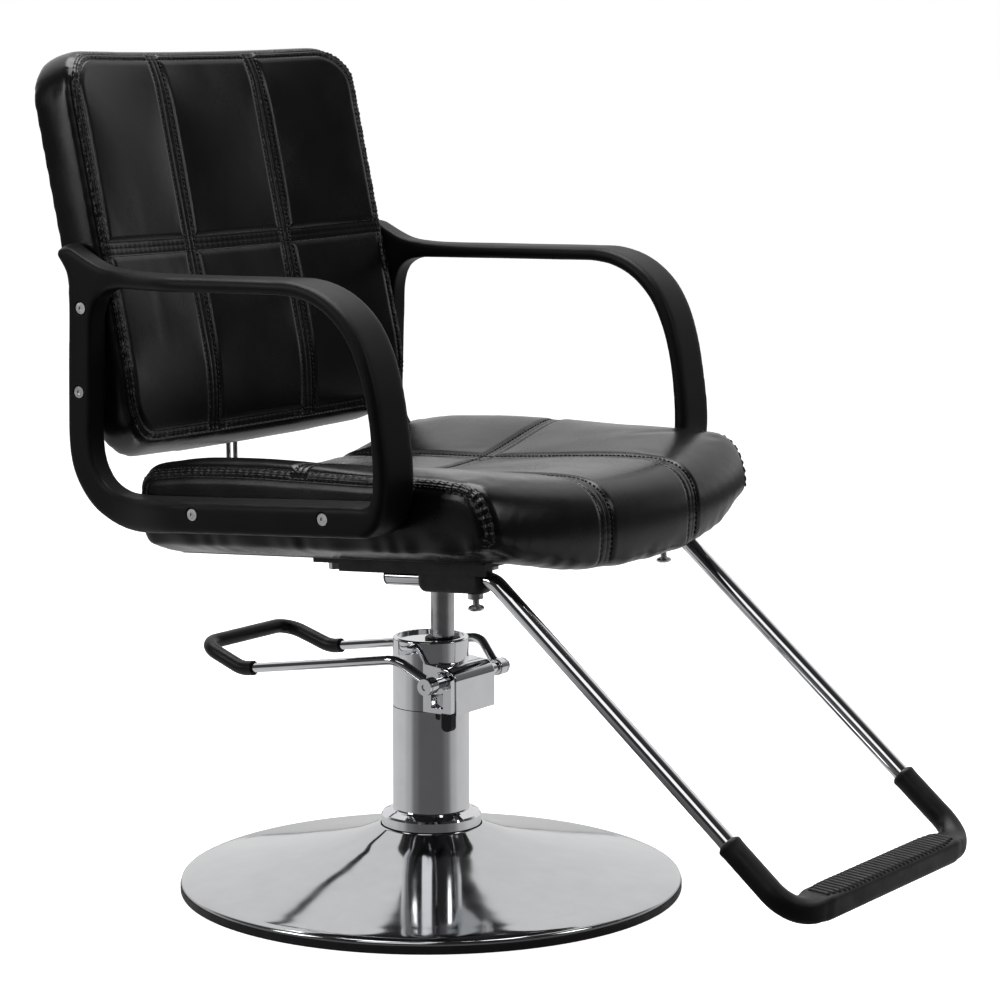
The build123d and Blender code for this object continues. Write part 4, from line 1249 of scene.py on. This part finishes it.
def floor():
    verts, faces = [], []
    n, rings = 96, [0.0, 0.5, 1.0, 2.0, 4.0, 8.0, 16.0, 40.0]
    verts.append((0, 0, 0))
    for r in rings[1:]:
        for i in range(n):
            a = 2 * math.pi * i / n
            verts.append((r * math.cos(a), r * math.sin(a), 0.0))
    for i in range(n):
        faces.append((0, 1 + i, 1 + (i + 1) % n))
    for k in range(len(rings) - 2):
        for i in range(n):
            a, b = 1 + k * n + i, 1 + k * n + (i + 1) % n
            faces.append((a, a + n, b + n, b))
    ob = new_mesh("floor", verts, faces)
    m = bpy.data.materials.new("floor_pale")
    m.use_nodes = True
    nt = m.node_tree
    nt.nodes.clear()
    N, L = nt.nodes.new, nt.links.new
    out = N("ShaderNodeOutputMaterial")
    df = N("ShaderNodeBsdfDiffuse")
    df.inputs["Color"].default_value = (0.8, 0.8, 0.8, 1)
    em = N("ShaderNodeEmission")
    em.inputs["Strength"].default_value = 0.80
    ad = N("ShaderNodeAddShader")
    L(df.outputs[0], ad.inputs[0])
    L(em.outputs[0], ad.inputs[1])
    tc = N("ShaderNodeTexCoord")
    # painted light: to every ray but the camera's the floor glows, brighter behind the chair than in front and dimming
    # between 1.9 and 3.3 m out; the camera sees it evenly bright
    em2 = N("ShaderNodeEmission")
    ln = N("ShaderNodeVectorMath")
    ln.operation = "LENGTH"
    L(tc.outputs["Object"], ln.inputs[0])
    fall = N("ShaderNodeMapRange")
    fall.interpolation_type = "SMOOTHSTEP"
    fall.inputs["From Min"].default_value = 1.9
    fall.inputs["From Max"].default_value = 3.3
    fall.inputs["To Min"].default_value = 1.0
    fall.inputs["To Max"].default_value = 0.16
    L(ln.outputs["Value"], fall.inputs["Value"])
    sc = N("ShaderNodeVectorMath")
    sc.operation = "SCALE"
    L(studio_ramp(nt, tc.outputs["Object"], 0.10, [(0.16, 0.16), (0.30, 0.42), (0.50, 0.56)], 0.60), sc.inputs[0])
    L(fall.outputs[0], sc.inputs["Scale"])
    L(sc.outputs[0], em2.inputs["Color"])
    em2.inputs["Strength"].default_value = 1.0
    lp = N("ShaderNodeLightPath")
    mx = N("ShaderNodeMixShader")
    L(lp.outputs["Is Camera Ray"], mx.inputs[0])
    L(em2.outputs[0], mx.inputs[1])
    L(ad.outputs[0], mx.inputs[2])
    L(mx.outputs[0], out.inputs[0])
    ob.data.materials.append(m)
    return ob


floor()


def area(name, loc, aim, size, power, size_y=None, color=(1, 1, 1)):
    l = bpy.data.lights.new(name, "AREA")
    l.shape = "RECTANGLE"
    l.size = size
    l.size_y = size_y or size
    l.energy = power
    l.color = color
    o = bpy.data.objects.new(name, l)
    o.location = loc
    o.rotation_euler = (Vector(aim) - Vector(loc)).to_track_quat("-Z", "Y").to_euler()
    scene.collection.objects.link(o)
    return o


area("top_box", (0.3, 0.3, 3.0), (0, 0, 0.3), 2.4, 92, 2.4)
area("left_box", (-2.6, 1.5, 1.6), (0, 0.1, 0.6), 0.9, 20, 1.7)
area("side_box", (-2.3, -0.75, 1.95), (0, -0.3, 0.25), 1.5, 7, 1.3)
area("front_box", (1.0, -3.2, 2.2), (0, 0, 0.5), 0.8, 12, 1.3)

w = bpy.data.worlds.new("studio")
scene.world = w
w.use_nodes = True
nt = w.node_tree
nt.nodes.clear()
N, L = nt.nodes.new, nt.links.new
out = N("ShaderNodeOutputWorld")
tc = N("ShaderNodeTexCoord")
bg = N("ShaderNodeBackground")
L(studio_ramp(nt, tc.outputs["Generated"], 0.025, [(0.30, 0.035), (0.58, 0.06), (0.69, 0.14), (0.76, 0.48)], 0.82), bg.inputs["Color"])
bg.inputs["Strength"].default_value = 1.0
bgw = N("ShaderNodeBackground")
bgw.inputs["Color"].default_value = (1, 1, 1, 1)
bgw.inputs["Strength"].default_value = 1.0
lp = N("ShaderNodeLightPath")
mx = N("ShaderNodeMixShader")
L(lp.outputs["Is Camera Ray"], mx.inputs[0])
L(bg.outputs[0], mx.inputs[1])
L(bgw.outputs[0], mx.inputs[2])
L(mx.outputs[0], out.inputs[0])

cam = bpy.data.cameras.new("cam")
cam.sensor_width = 36.0
cam.lens = 117.6
cam.clip_end = 60
co_ = bpy.data.objects.new("cam", cam)
co_.location = (-2.5831, -1.8675, 0.8647)
co_.rotation_euler = (math.radians(81.52), 0.0, math.radians(-55.37))
scene.collection.objects.link(co_)
scene.camera = co_
